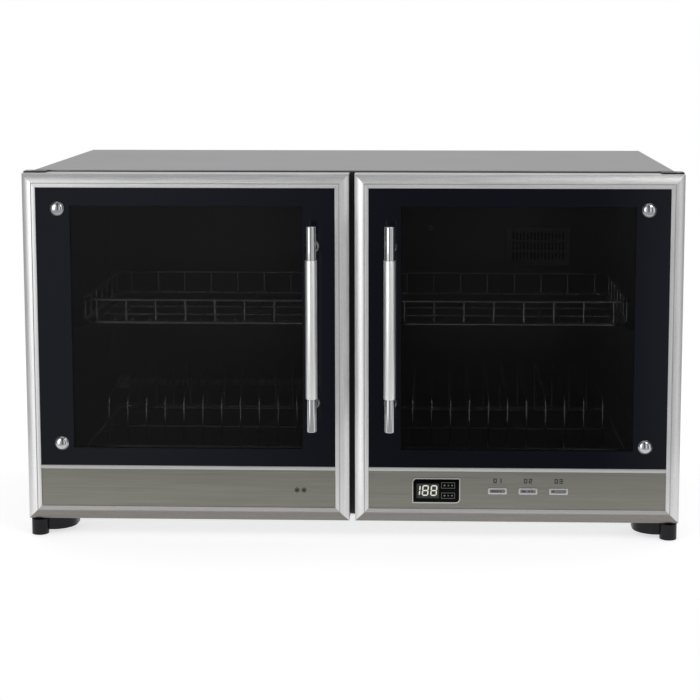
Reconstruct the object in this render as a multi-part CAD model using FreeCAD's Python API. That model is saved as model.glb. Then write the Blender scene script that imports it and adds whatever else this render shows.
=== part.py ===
"""Two-door dish sterilizer cabinet, millimetres, +Z up, doors facing -Y.

The origin is the middle of the footprint at floor level. Each node of the assembly is written
to its own STEP file in parts/. A node may hold several separate solids of one kind.
"""
import FreeCAD, Part
import math
import os

from FreeCAD import Vector

# ---- overall size ----
WIDTH = 800.0
DEPTH = 450.0
HEIGHT = 452.0

# ---- planes along Y, from the front of the handles to the end of the cable gland ----
Y_FRONT = -DEPTH / 2
HANDLE_REACH = 42.0
Y_DOOR = Y_FRONT + HANDLE_REACH
DOOR_THICKNESS = 30.0
Y_DOOR_BACK = Y_DOOR + DOOR_THICKNESS
SEAL_GAP = 4.0
Y_BODY = Y_DOOR_BACK + SEAL_GAP
BODY_DEPTH = 367.0
Y_SHELL = Y_BODY + BODY_DEPTH
Y_GLAND = DEPTH / 2

# ---- outer shell ----
BODY_WIDTH = 785.0
SHEET = 1.2
BEND_RADIUS = 3.0
TOP_FLANGE = 14.0
BODY_HALF = BODY_WIDTH / 2
INNER_HALF = BODY_HALF - SHEET
Z_BODY = 21.7
Z_FLANGE = HEIGHT - TOP_FLANGE
FRONT_SHEET = 2.0

# ---- chambers; the right chamber is the mirror of the left one ----
MULLION_HALF = 24.0
CHAMBER_WIDTH = 338.0
CHAMBER_OUT = MULLION_HALF + CHAMBER_WIDTH
CHAMBER_MID = MULLION_HALF + CHAMBER_WIDTH / 2
Z_FLOOR = 91.0
Z_CEILING = 427.0
LINER_SHEET = 1.0
LINER_Y0 = Y_BODY + FRONT_SHEET
LINER_Y1 = 177.0
BLANKET_UNDER = 30.0

# ---- doors ----
DOOR_GAP = 6.8
DOOR_WIDTH = (WIDTH - DOOR_GAP) / 2
DOOR_HEIGHT = 428.0
Z_DOOR = 22.0
Z_DOOR_TOP = Z_DOOR + DOOR_HEIGHT
X_DOOR_OUT = -WIDTH / 2
X_DOOR_IN = -DOOR_GAP / 2

# door frame extrusion: w runs inwards from the outer edge, d runs back from the front plane
BEVEL_WIDTH = 11.5
BEVEL_DEPTH = 4.5
BEVEL_BULGE = 0.9
GROOVE_WIDTH = 1.0
GROOVE_DEPTH = 1.2
FACE_WIDTH = 17.0
GLASS_RECESS = 1.2
GLASS_EDGE = 14.0
GLASS_THICKNESS = 4.0
CHANNEL_BACK = 5.4
CHANNEL_LIP = 7.4
FRAME_WALL = 2.2
REAR_LIP = 26.8
PANEL_SHEET = 1.2
PANEL_INSET = 1.0

# glass above, control fascia below, a thin bar between them
Z_DIVIDER_LOW = 85.5
Z_DIVIDER_TOP = 90.4
DIVIDER_WEB = 1.6
FASCIA_SHEET = 1.5
FASCIA_RIM = 2.0
WINDOW_MARGIN = 8.0
WINDOW_OUT = 342.0
WINDOW_IN = 60.0
WINDOW_Z0 = 112.0
WINDOW_Z1 = 411.0
INNER_GLASS_LAP = 6.0

# door gasket, a ring of square strip on the door's inner panel
GASKET_OUT = 371.0
GASKET_IN = 17.5
GASKET_Z0 = 80.0
GASKET_Z1 = 438.0
GASKET_WIDTH = 6.0
GASKET_PROUD = 3.7

# ---- hinges ----
HINGE_INSET = 6.0
HINGE_AHEAD = 9.0
HINGE_X = WIDTH / 2 - HINGE_INSET
HINGE_Y = Y_DOOR_BACK - HINGE_AHEAD
PIN_RADIUS = 2.5
PIN_CLEARANCE = 0.05
BUSH_RADIUS = 3.7
BUSH_LENGTH = 10.0
BRACKET_SHEET = 1.5
BRACKET_LENGTH = 27.0
BRACKET_LEG = 13.0
BRACKET_FRONT = HINGE_Y - 7.0
BRACKET_LIFT = 0.3
LEG_OUT = 391.0

# ---- handles ----
HANDLE_X = 46.9
HANDLE_Z = 266.5
HANDLE_LENGTH = 248.4
HANDLE_RADIUS = 7.2
HANDLE_Y = Y_FRONT + HANDLE_RADIUS
SLEEVE_LENGTH = 40.4
SLEEVE_RADIUS = 6.3
POST_PITCH = 192.0
POST_RADIUS = 4.5
DOME_RADIUS = 8.5
DOME_HEIGHT = 4.5
STUD_RADIUS = 2.5
STUD_END = 9.0
GLASS_HOLE_RADIUS = 4.0
NUT_RADIUS = 5.0
SCREW_X = 357.0
SCREW_Z = (117.7, 407.5)

# ---- controls on the right door ----
DISPLAY_X = 103.2
CONTROL_Z = 61.6
DISPLAY_WIDTH = 58.8
DISPLAY_HEIGHT = 31.4
DISPLAY_RIM = 1.2
DISPLAY_LAP = 0.4
DISPLAY_CORNER = 5.6
BUTTON_X = (178.0, 215.4, 252.7)
BEZEL_WIDTH = 23.0
BEZEL_HEIGHT = 7.8
BUTTON_WIDTH = 18.2
BUTTON_HEIGHT = 3.8
BUTTON_PLAY = 0.2
BEZEL_PROUD = 1.0
BOARD_DEPTH = 12.0
BOARD_SHEET = 1.6

# ---- wire racks ----
RACK_WIDTH = 302.0
RACK_Y0 = HINGE_Y + 42.0
RACK_LENGTH = 260.0
RING_RADIUS = 2.5
WIRE_RADIUS = 1.5
RACK_CORNER = 18.0
BASKET_Z = 258.0
FENCE_HEIGHT = 28.5
FENCE_PITCH = 35.0
GRID_PITCH = 21.0
PLATE_RACK_Z = 94.0
HOOP_HEIGHT = 65.0
HOOP_PITCH = 24.0
HOOP_COUNT = 11
HOOP_CORNER = 14.0
RAIL_SHEET = 1.2
RAIL_REACH = 24.0
RAIL_HEIGHT = 12.0
RAIL_PLAY = 0.3

# ---- heating and air ----
TUBE_RADIUS = 5.5
TUBE_Y = 162.0
TUBE_Z = (125.0, 236.0)
HOLDER_SIZE = 16.0
VENT_X = 247.0
VENT_Z = 320.0
VENT_WIDTH = 88.0
VENT_HEIGHT = 54.0
VENT_PITCH = 5.0
VENT_SLOT = 2.6
INTAKE_Z = 232.0
FAN_Y0 = LINER_Y1 + LINER_SHEET + 10
FAN_SIZE = 80.0
FAN_DEPTH = 24.0
FAN_BORE = 37.5
FAN_TIP = 36.0
FAN_HUB = 15.0
FAN_BLADES = 7
OZONE_X = 95.0
OZONE_Z = 345.0
OZONE_NOZZLE = 4.0

# ---- feet ----
POST_FOOT_RADIUS = 10.5
FOOT_X = 388.5
FOOT_Y = -170.0
FOOT_TOP = 20.0
WEB_BOTTOM = 5.0
WEB_REACH = 41.0
WEB_CORNER = 28.0
WEB_SHEET = 3.0
WEB_ROOF = 4.0
REAR_FOOT_X = 370.0
REAR_FOOT_Y = 190.0
PAD_RADIUS = 8.0
PAD_HEIGHT = 3.8
PAD_PROUD = 0.8

# ---- cable gland ----
GLAND_X = -330.0
GLAND_Z = 52.0
GLAND_BORE = 3.75
GLAND_THREAD = 8.0
GLAND_FLANGE = 12.0
GLAND_INSIDE = 14.0

nodes = {}


# ---------------------------------------------------------------- basic shapes

def box(x0, x1, y0, y1, z0, z1):
    """Box between two corners."""
    low = Vector(min(x0, x1), min(y0, y1), min(z0, z1))
    return Part.makeBox(abs(x1 - x0), abs(y1 - y0), abs(z1 - z0), low)


def rod(start, end, radius):
    """Round bar between two points."""
    a = Vector(*start)
    run = Vector(*end) - a
    return Part.makeCylinder(radius, run.Length, a, run)


def fuse(shapes):
    """One solid out of several that meet."""
    joined = shapes[0].multiFuse(shapes[1:]) if len(shapes) > 1 else shapes[0]
    joined = joined.removeSplitter()
    return joined.Solids[0] if len(joined.Solids) == 1 else joined


def cut(shape, tools):
    """Shape less all the tools."""
    return shape.cut(Part.makeCompound(tools))


def mirrored(shape):
    """The same shape on the other side of the cabinet."""
    return shape.mirror(Vector(0, 0, 0), Vector(1, 0, 0))


def rounded_outline(x0, x1, z0, z1, y, radii):
    """Rounded rectangle in the XZ plane; radii are bottom-left, bottom-right, top-right, top-left."""
    r_bl, r_br, r_tr, r_tl = radii
    k = 1 - math.sqrt(0.5)
    edges = []

    def line(a, b):
        edges.append(Part.makeLine(Vector(a[0], y, a[1]), Vector(b[0], y, b[1])))

    def arc(a, m, b):
        points = [Vector(p[0], y, p[1]) for p in (a, m, b)]
        edges.append(Part.Arc(*points).toShape())

    line((x0 + r_bl, z0), (x1 - r_br, z0))
    arc((x1 - r_br, z0), (x1 - k * r_br, z0 + k * r_br), (x1, z0 + r_br))
    line((x1, z0 + r_br), (x1, z1 - r_tr))
    arc((x1, z1 - r_tr), (x1 - k * r_tr, z1 - k * r_tr), (x1 - r_tr, z1))
    line((x1 - r_tr, z1), (x0 + r_tl, z1))
    arc((x0 + r_tl, z1), (x0 + k * r_tl, z1 - k * r_tl), (x0, z1 - r_tl))
    line((x0, z1 - r_tl), (x0, z0 + r_bl))
    arc((x0, z0 + r_bl), (x0 + k * r_bl, z0 + k * r_bl), (x0 + r_bl, z0))
    return Part.Wire(edges)


def rounded_block(x0, x1, y0, y1, z0, z1, radii):
    """Rounded rectangle in XZ, drawn out along Y."""
    outline = rounded_outline(x0, x1, z0, z1, y0, radii)
    return Part.Face(outline).extrude(Vector(0, y1 - y0, 0))


def centred_block(x, z, width, height, y0, y1, radii):
    """Rounded block by its middle in XZ."""
    return rounded_block(x - width / 2, x + width / 2, y0, y1, z - height / 2, z + height / 2, radii)


def dome(x, y, z, radius, height):
    """Spherical cap that stands on the plane y and points to the front."""
    ball = (radius ** 2 + height ** 2) / (2 * height)
    sphere = Part.makeSphere(ball, Vector(x, y + ball - height, z))
    return sphere.common(box(x - ball, x + ball, y - height - 1, y, z - ball, z + ball))


def ring_of_strips(x0, x1, z0, z1, width, y0, y1):
    """Picture-frame ring as four mitred solids."""
    corners = [(x0, z0), (x1, z0), (x1, z1), (x0, z1)]
    inner = [(x0 + width, z0 + width), (x1 - width, z0 + width),
             (x1 - width, z1 - width), (x0 + width, z1 - width)]
    strips = []
    for i in range(4):
        j = (i + 1) % 4
        points = [corners[i], corners[j], inner[j], inner[i], corners[i]]
        face = Part.Face(Part.makePolygon([Vector(px, y0, pz) for px, pz in points]))
        strips.append(face.extrude(Vector(0, y1 - y0, 0)))
    return strips


# ---------------------------------------------------------------- outer shell

def top_panel():
    """Flat top with bent side flanges and a back flange."""
    y0, y1 = Y_BODY, Y_SHELL
    outer = rounded_block(-BODY_HALF, BODY_HALF, y0, y1, Z_FLANGE, HEIGHT,
                          (0.01, 0.01, BEND_RADIUS, BEND_RADIUS))
    inner_bend = BEND_RADIUS - SHEET
    inner = rounded_block(-INNER_HALF, INNER_HALF, y0 - 1, y1 - SHEET, Z_FLANGE - 1, HEIGHT - SHEET,
                          (0.01, 0.01, inner_bend, inner_bend))
    return outer.cut(inner)


def side_panel():
    """Left side sheet with a return flange along its back edge."""
    sheet = box(-BODY_HALF, -INNER_HALF, Y_BODY, Y_SHELL - SHEET, Z_BODY, Z_FLANGE)
    flange = box(-INNER_HALF, -INNER_HALF + 16, Y_SHELL - 2 * SHEET, Y_SHELL - SHEET,
                 Z_BODY + SHEET, Z_FLANGE)
    return fuse([sheet, flange])


def bottom_panel():
    """Base sheet with two groups of air slots."""
    sheet = box(-INNER_HALF, INNER_HALF, Y_BODY, Y_SHELL - SHEET, Z_BODY, Z_BODY + SHEET)
    slots = []
    for group_x in (-120.0, 120.0):
        for i in range(8):
            x = group_x + (i - 3.5) * 12
            slots.append(box(x - 2, x + 2, 60, 120, Z_BODY - 1, Z_BODY + 3))
    return cut(sheet, slots)


def back_panel():
    """Back sheet with air slots below the fan and behind the board, and the gland's hole."""
    sheet = box(-BODY_HALF, BODY_HALF, Y_SHELL - SHEET, Y_SHELL, Z_BODY, Z_FLANGE)
    slots = []
    for centre_x, centre_z, rows in ((VENT_X, INTAKE_Z, 9), (0.0, 58.0, 5)):
        for i in range(rows):
            z = centre_z + (i - (rows - 1) / 2) * 9
            slots.append(centred_block(centre_x, z, 70, 4, Y_SHELL - 3, Y_SHELL + 1, (1.9,) * 4))
    slots.append(rod((GLAND_X, Y_SHELL - 3, GLAND_Z), (GLAND_X, Y_SHELL + 1, GLAND_Z), GLAND_THREAD))
    return cut(sheet, slots)


def front_frame():
    """Five bars round the two chamber mouths."""
    y0, y1 = Y_BODY, Y_BODY + FRONT_SHEET
    top = HEIGHT - SHEET
    return [
        box(-INNER_HALF + BEND_RADIUS, INNER_HALF - BEND_RADIUS, y0, y1, Z_CEILING, top),
        box(-INNER_HALF, INNER_HALF, y0, y1, Z_BODY + SHEET, Z_FLOOR),
        box(-INNER_HALF, -CHAMBER_OUT, y0, y1, Z_FLOOR, Z_CEILING),
        box(CHAMBER_OUT, INNER_HALF, y0, y1, Z_FLOOR, Z_CEILING),
        box(-MULLION_HALF, MULLION_HALF, y0, y1, Z_FLOOR, Z_CEILING),
    ]


# ---------------------------------------------------------------- chambers

def left_liner():
    """Left chamber: floor, ceiling, two sides and back, five welded sheets."""
    t = LINER_SHEET
    x0, x1 = -CHAMBER_OUT, -MULLION_HALF
    return [
        box(x0, x1, LINER_Y0, LINER_Y1, Z_FLOOR - t, Z_FLOOR),
        box(x0, x1, LINER_Y0, LINER_Y1, Z_CEILING, Z_CEILING + t),
        box(x0 - t, x0, LINER_Y0, LINER_Y1, Z_FLOOR - t, Z_CEILING + t),
        box(x1, x1 + t, LINER_Y0, LINER_Y1, Z_FLOOR - t, Z_CEILING + t),
        box(x0 - t, x1 + t, LINER_Y1, LINER_Y1 + t, Z_FLOOR - t, Z_CEILING + t),
    ]


def right_liner():
    """Right chamber, with the hot-air opening and the ozone inlet in its back."""
    sheets = [mirrored(s) for s in left_liner()]
    y0, y1 = LINER_Y1 - 1, LINER_Y1 + 3
    vent = centred_block(VENT_X, VENT_Z, VENT_WIDTH - 10, VENT_HEIGHT - 10, y0, y1, (2,) * 4)
    inlet = rod((OZONE_X, y0, OZONE_Z), (OZONE_X, y1, OZONE_Z), OZONE_NOZZLE + 0.2)
    sheets[4] = cut(sheets[4], [vent, inlet])
    return sheets


def insulation_blankets():
    """Slabs between the chambers and the shell."""
    y0, y1 = LINER_Y0, LINER_Y1
    t = LINER_SHEET
    side = box(-INNER_HALF, -CHAMBER_OUT - t, y0, y1, Z_FLOOR - t, Z_CEILING + t)
    under = box(-CHAMBER_OUT, -MULLION_HALF, y0, y1, Z_FLOOR - t - BLANKET_UNDER, Z_FLOOR - t)
    return [
        side,
        mirrored(side),
        under,
        mirrored(under),
        box(-MULLION_HALF + t, MULLION_HALF - t, y0, y1, Z_FLOOR - t, Z_CEILING + t),
        box(-INNER_HALF + BEND_RADIUS, INNER_HALF - BEND_RADIUS, y0, y1, Z_CEILING + t, HEIGHT - SHEET),
    ]


def rail(z):
    """Angle strip on the outer wall of the left chamber; z is the underside."""
    x0, x1 = -CHAMBER_OUT, -CHAMBER_OUT + RAIL_REACH
    y0, y1 = LINER_Y0 + 6, LINER_Y1 - 4
    t = RAIL_SHEET
    return fuse([
        box(x0, x0 + t, y0, y1, z, z + RAIL_HEIGHT),
        box(x0, x1, y0, y1, z, z + t),
    ])


def rack_rails():
    """Two levels of angle strips on both walls of both chambers."""
    rails = []
    for ring_z in (BASKET_Z, PLATE_RACK_Z + RAIL_SHEET):
        outer = rail(ring_z - RING_RADIUS - RAIL_PLAY - RAIL_SHEET)
        about_middle = outer.mirror(Vector(-CHAMBER_MID, 0, 0), Vector(1, 0, 0))
        for one in (outer, about_middle):
            rails.append(one)
            rails.append(mirrored(one))
    return rails


# ---------------------------------------------------------------- wire racks, drawn about x = 0

def wire_ring(z):
    """Rounded rectangular ring of round wire, the border of a rack."""
    half = RACK_WIDTH / 2 - RING_RADIUS
    y0 = RACK_Y0 + RING_RADIUS
    y1 = RACK_Y0 + RACK_LENGTH - RING_RADIUS
    outline = rounded_outline(-half, half, -y1, -y0, 0, (RACK_CORNER,) * 4)
    outline.rotate(Vector(0, 0, 0), Vector(1, 0, 0), 90)
    outline.translate(Vector(0, 0, z))
    start = outline.Edges[0].valueAt(outline.Edges[0].FirstParameter)
    heading = outline.Edges[0].tangentAt(outline.Edges[0].FirstParameter)
    profile = Part.Wire([Part.makeCircle(RING_RADIUS, start, heading)])
    return outline.makePipeShell([profile], True, True).Solids[0]


def spread(half, pitch):
    """Evenly spaced places from -half to half, about one pitch apart."""
    count = max(2, int(round(2 * half / pitch)) + 1)
    return [-half + 2 * half * i / (count - 1) for i in range(count)]


def rack_floor(z):
    """Ring with a grid of thinner wires welded to it."""
    y0 = RACK_Y0 + RING_RADIUS
    y1 = RACK_Y0 + RACK_LENGTH - RING_RADIUS
    wires = [wire_ring(z)]
    lift = RING_RADIUS + WIRE_RADIUS - 1.0
    for x in spread(RACK_WIDTH / 2 - RACK_CORNER - 4, GRID_PITCH):
        wires.append(rod((x, y0 + WIRE_RADIUS, z + lift), (x, y1 - WIRE_RADIUS, z + lift), WIRE_RADIUS))
    middle = (y0 + y1) / 2
    half = (y1 - y0) / 2
    for y in (middle - half / 2, middle, middle + half / 2):
        edge = RACK_WIDTH / 2 - RING_RADIUS
        wires.append(rod((-edge, y, z), (edge, y, z), WIRE_RADIUS))
    return fuse(wires)


def fence(along, half, z):
    """Ladder of a top rail and short uprights, along x or y, standing on the ring."""
    foot = z + RING_RADIUS
    top = foot + FENCE_HEIGHT - RING_RADIUS
    wires = []
    if along == "x":
        wires.append(rod((-half, 0, top), (half, 0, top), 2.0))
    else:
        wires.append(rod((0, -half, top), (0, half, top), 2.0))
    for place in spread(half - 14, FENCE_PITCH):
        spot = (place, 0) if along == "x" else (0, place)
        wires.append(rod((*spot, foot), (*spot, top), WIRE_RADIUS))
    return fuse(wires)


def basket():
    """Upper basket: a wire floor and four low fences."""
    half_x = RACK_WIDTH / 2 - RING_RADIUS
    middle_y = RACK_Y0 + RACK_LENGTH / 2
    half_y = RACK_LENGTH / 2 - RING_RADIUS
    pieces = [rack_floor(BASKET_Z)]
    for sign in (-1, 1):
        across = fence("x", half_x - 4, BASKET_Z)
        across.translate(Vector(0, middle_y + sign * half_y, 0))
        along = fence("y", half_y - 4, BASKET_Z)
        along.translate(Vector(sign * half_x, middle_y, 0))
        pieces.extend([across, along])
    return pieces


def hoop(x, z):
    """Upright wire arch between two plates."""
    y0 = RACK_Y0 + 16
    y1 = RACK_Y0 + RACK_LENGTH - 16
    top = z + HOOP_HEIGHT
    r = HOOP_CORNER
    k = r * (1 - math.sqrt(0.5))
    path = Part.Wire([
        Part.makeLine(Vector(x, y0, z), Vector(x, y0, top - r)),
        Part.Arc(Vector(x, y0, top - r), Vector(x, y0 + k, top - k), Vector(x, y0 + r, top)).toShape(),
        Part.makeLine(Vector(x, y0 + r, top), Vector(x, y1 - r, top)),
        Part.Arc(Vector(x, y1 - r, top), Vector(x, y1 - k, top - k), Vector(x, y1, top - r)).toShape(),
        Part.makeLine(Vector(x, y1, top - r), Vector(x, y1, z)),
    ])
    profile = Part.Wire([Part.makeCircle(WIRE_RADIUS, Vector(x, y0, z), Vector(0, 0, 1))])
    return path.makePipeShell([profile], True, True).Solids[0]


def plate_rack():
    """Lower rack: a ring with cross bars, and a row of arches that stand on the bars."""
    z = PLATE_RACK_Z + RAIL_SHEET
    half = RACK_WIDTH / 2 - RING_RADIUS
    front = RACK_Y0 + 16
    back = RACK_Y0 + RACK_LENGTH - 16
    bars = [wire_ring(z)]
    for y in (front, (front + back) / 2, back):
        bars.append(rod((-half, y, z), (half, y, z), 2.0))
    pieces = [fuse(bars)]
    for i in range(HOOP_COUNT):
        x = (i - (HOOP_COUNT - 1) / 2) * HOOP_PITCH
        pieces.append(hoop(x, z + 2.0))
    return pieces


# ---------------------------------------------------------------- heating, air and boards


def heater_tubes():
    """Two quartz heating tubes across the back of the left chamber."""
    reach = CHAMBER_WIDTH / 2 - 10
    return [rod((-CHAMBER_MID - reach, TUBE_Y, z), (-CHAMBER_MID + reach, TUBE_Y, z), TUBE_RADIUS)
            for z in TUBE_Z]


def heater_holders():
    """Ceramic blocks that hold the tube ends on the chamber's back wall."""
    half = HOLDER_SIZE / 2
    blocks = []
    for z in TUBE_Z:
        bore = rod((-CHAMBER_OUT, TUBE_Y, z), (-MULLION_HALF, TUBE_Y, z), TUBE_RADIUS + 0.05)
        for sign in (-1, 1):
            x = -CHAMBER_MID + sign * (CHAMBER_WIDTH / 2 - 22)
            blocks.append(box(x - half, x + half, TUBE_Y - half, LINER_Y1, z - half, z + half).cut(bore))
    return blocks


def vent_grille():
    """Slotted plate over the hot-air opening."""
    plate = centred_block(VENT_X, VENT_Z, VENT_WIDTH, VENT_HEIGHT, LINER_Y1 - 2, LINER_Y1, (3,) * 4)
    slots = []
    columns = int((VENT_WIDTH - 12) / VENT_PITCH)
    for row in (-1, 0, 1):
        z = VENT_Z + row * 14.0
        for i in range(columns):
            x = VENT_X + (i - (columns - 1) / 2) * VENT_PITCH
            slots.append(box(x - VENT_SLOT / 2, x + VENT_SLOT / 2, LINER_Y1 - 3, LINER_Y1 + 1,
                             z - 5.5, z + 5.5))
    return cut(plate, slots)


def air_heater():
    """Finned heating block between the fan and the chamber."""
    y0 = LINER_Y1 + LINER_SHEET
    block = centred_block(VENT_X, VENT_Z, VENT_WIDTH, VENT_HEIGHT, y0, y0 + 9, (1,) * 4)
    slots = [box(VENT_X - 36, VENT_X + 36, y0 - 1, y0 + 10, VENT_Z + z - 2.5, VENT_Z + z + 2.5)
             for z in (-18, -9, 0, 9, 18)]
    return cut(block, slots)


def fan_housing():
    """Square fan frame with spokes and a bearing boss at its back, and four spacer legs."""
    half = FAN_SIZE / 2
    y1 = FAN_Y0 + FAN_DEPTH
    axis = (VENT_X, VENT_Z)
    frame = centred_block(*axis, FAN_SIZE, FAN_SIZE, FAN_Y0, y1, (4,) * 4)
    frame = frame.cut(rod((VENT_X, FAN_Y0 - 1, VENT_Z), (VENT_X, y1 + 1, VENT_Z), FAN_BORE))
    pieces = [frame, rod((VENT_X, y1 - 6, VENT_Z), (VENT_X, y1, VENT_Z), FAN_HUB)]
    for dx, dz in ((1, 0), (-1, 0), (0, 1), (0, -1)):
        reach = FAN_BORE + 1
        pieces.append(box(VENT_X + dx * FAN_HUB / 2 - 2 * abs(dz), VENT_X + dx * reach + 2 * abs(dz),
                          y1 - 3, y1,
                          VENT_Z + dz * FAN_HUB / 2 - 2 * abs(dx), VENT_Z + dz * reach + 2 * abs(dx)))
    for sx in (-1, 1):
        for sz in (-1, 1):
            x, z = VENT_X + sx * (half - 4), VENT_Z + sz * (half - 4)
            pieces.append(rod((x, LINER_Y1 + LINER_SHEET, z), (x, FAN_Y0 + 1, z), 2.5))
    whole = fuse(pieces)
    shaft_hole = rod((VENT_X, y1 - 7, VENT_Z), (VENT_X, y1 - 1, VENT_Z), 1.5 + PIN_CLEARANCE)
    return whole.cut(shaft_hole)


def fan_rotor():
    """Hub, shaft and raked blades."""
    y0, y1 = FAN_Y0 + 2, FAN_Y0 + FAN_DEPTH - 7
    hub = rod((VENT_X, y0, VENT_Z), (VENT_X, y1, VENT_Z), FAN_HUB)
    shaft = rod((VENT_X, y1 - 1, VENT_Z), (VENT_X, FAN_Y0 + FAN_DEPTH - 2, VENT_Z), 1.5)
    pieces = [hub, shaft]
    for i in range(FAN_BLADES):
        blade = box(VENT_X + FAN_HUB - 2, VENT_X + FAN_TIP, (y0 + y1) / 2 - 0.8, (y0 + y1) / 2 + 0.8,
                    VENT_Z - 8, VENT_Z + 8)
        centre = Vector(VENT_X, (y0 + y1) / 2, VENT_Z)
        blade.rotate(centre, Vector(1, 0, 0), 35)
        blade.rotate(centre, Vector(0, 1, 0), 360.0 * i / FAN_BLADES)
        pieces.append(blade)
    return fuse(pieces)


def ozone_generator():
    """Sealed box behind the right chamber with a nozzle into it."""
    y0 = LINER_Y1 + LINER_SHEET
    case = centred_block(OZONE_X, OZONE_Z, 74, 46, y0, y0 + 28, (3,) * 4)
    nozzle = rod((OZONE_X, LINER_Y1 - 4, OZONE_Z), (OZONE_X, y0 + 1, OZONE_Z), OZONE_NOZZLE)
    return fuse([case, nozzle])


def power_board():
    """Circuit board on four posts, with a relay, a transformer and a terminal block."""
    x0, x1, y0, y1 = -90.0, 50.0, 60.0, 150.0
    z = Z_BODY + SHEET
    board = z + 8
    pieces = [box(x0, x1, y0, y1, board, board + BOARD_SHEET)]
    for x in (x0 + 6, x1 - 6):
        for y in (y0 + 6, y1 - 6):
            pieces.append(rod((x, y, z), (x, y, board), 3))
    top = board + BOARD_SHEET
    pieces.append(box(x0 + 12, x0 + 40, y0 + 14, y0 + 50, top, top + 24))
    pieces.append(box(x0 + 60, x0 + 78, y0 + 20, y0 + 36, top, top + 15))
    pieces.append(box(x0 + 60, x0 + 78, y0 + 50, y0 + 66, top, top + 15))
    pieces.append(box(x1 - 44, x1 - 8, y1 - 20, y1 - 8, top, top + 12))
    return fuse(pieces)


def cable_gland():
    """Threaded gland through the back panel, with its inside nut, open for a mains cord."""
    inside = Y_SHELL - GLAND_INSIDE
    pieces = [
        rod((GLAND_X, inside, GLAND_Z), (GLAND_X, Y_SHELL, GLAND_Z), GLAND_THREAD - 0.1),
        rod((GLAND_X, Y_SHELL, GLAND_Z), (GLAND_X, Y_SHELL + 3, GLAND_Z), GLAND_FLANGE),
        rod((GLAND_X, Y_SHELL, GLAND_Z), (GLAND_X, Y_GLAND, GLAND_Z), GLAND_THREAD),
        rod((GLAND_X, Y_SHELL - SHEET - 5, GLAND_Z), (GLAND_X, Y_SHELL - SHEET, GLAND_Z), GLAND_FLANGE),
    ]
    bore = rod((GLAND_X, inside - 1, GLAND_Z), (GLAND_X, Y_GLAND + 1, GLAND_Z), GLAND_BORE)
    return fuse(pieces).cut(bore)


def panel_screws():
    """Pan-head screws round the back panel."""
    places = [(x, z) for x in (-384.0, 384.0) for z in (40.0, 150.0, 300.0, 425.0)]
    return [rod((x, Y_SHELL, z), (x, Y_SHELL + 2.2, z), 3.6) for x, z in places]


# ---------------------------------------------------------------- hinges, catches and feet

def hinge_brackets():
    """Four bent plates: a leg on the front frame and a tongue over or under the door."""
    t = BRACKET_SHEET
    x0 = -WIDTH / 2
    inner = x0 + BRACKET_LENGTH
    brackets = []
    top_z = Z_DOOR_TOP + BRACKET_LIFT
    low_z = Z_DOOR - BRACKET_LIFT - t
    for tongue_z, leg_z0, leg_z1 in ((top_z, top_z - BRACKET_LEG + t, top_z),
                                     (low_z, low_z + t, low_z + BRACKET_LEG)):
        tongue = box(x0, inner, BRACKET_FRONT, Y_BODY, tongue_z, tongue_z + t)
        leg = box(-LEG_OUT, inner, Y_BODY - t, Y_BODY, leg_z0, leg_z1)
        hole = rod((-HINGE_X, HINGE_Y, tongue_z - 1), (-HINGE_X, HINGE_Y, tongue_z + t + 1), PIN_RADIUS)
        brackets.append(fuse([tongue, leg]).cut(hole))
    return brackets + [mirrored(b) for b in brackets]


def hinge_pins():
    """Pins riveted into the tongues; they reach into the door bushes."""
    t = BRACKET_SHEET
    top = Z_DOOR_TOP + BRACKET_LIFT
    low = Z_DOOR - BRACKET_LIFT - t
    pins = [
        rod((-HINGE_X, HINGE_Y, top - BUSH_LENGTH + 1), (-HINGE_X, HINGE_Y, top + t), PIN_RADIUS),
        rod((-HINGE_X, HINGE_Y, low), (-HINGE_X, HINGE_Y, low + t + BUSH_LENGTH - 1), PIN_RADIUS),
    ]
    return pins + [mirrored(p) for p in pins]


def magnetic_catches():
    """Flat magnets on the mullion that hold the doors' steel inner panels."""
    magnets = []
    for z in (110.0, 380.0):
        magnets.append(box(-15, -6, Y_BODY - 3.5, Y_BODY, z, z + 34))
    return magnets + [mirrored(m) for m in magnets]


def foot_pad_at(x, y):
    return rod((x, y, 0), (x, y, PAD_HEIGHT), PAD_RADIUS)


def web_slab(inset, z0, z1):
    """Square slab behind the left front post, its free front corner rounded."""
    x1 = -FOOT_X + WEB_REACH - inset
    y0 = FOOT_Y + inset
    slab = box(-FOOT_X, x1, y0, FOOT_Y + WEB_REACH, z0, z1)
    corner = [e for e in slab.Edges
              if all(abs(v.X - x1) < 0.01 and abs(v.Y - y0) < 0.01 for v in e.Vertexes)]
    return slab.makeFillet(WEB_CORNER - inset, corner)


def front_foot():
    """Left front foot: a round post under the door's corner and a hollow web back to the body."""
    x, y = -FOOT_X, FOOT_Y
    post = rod((x, y, PAD_PROUD), (x, y, FOOT_TOP), POST_FOOT_RADIUS)
    web = web_slab(0, WEB_BOTTOM, FOOT_TOP).cut(web_slab(WEB_SHEET, WEB_BOTTOM, FOOT_TOP - WEB_ROOF))
    web_side = box(x - WEB_ROOF, x, y, y + WEB_REACH, WEB_BOTTOM, FOOT_TOP)
    flange = box(x - WEB_ROOF, x + WEB_REACH, Y_BODY, y + WEB_REACH, FOOT_TOP - WEB_ROOF, Z_BODY)
    foot = fuse([post, web, flange, web_side])
    return foot.cut(foot_pad_at(x, y))


def rear_foot():
    """Left rear foot: a plain post under the body."""
    post = rod((-REAR_FOOT_X, REAR_FOOT_Y, PAD_PROUD), (-REAR_FOOT_X, REAR_FOOT_Y, Z_BODY),
               POST_FOOT_RADIUS)
    return post.cut(foot_pad_at(-REAR_FOOT_X, REAR_FOOT_Y))


def foot_pads():
    """Rubber discs under the four posts."""
    pads = [foot_pad_at(-FOOT_X, FOOT_Y), foot_pad_at(-REAR_FOOT_X, REAR_FOOT_Y)]
    return pads + [mirrored(p) for p in pads]


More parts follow.
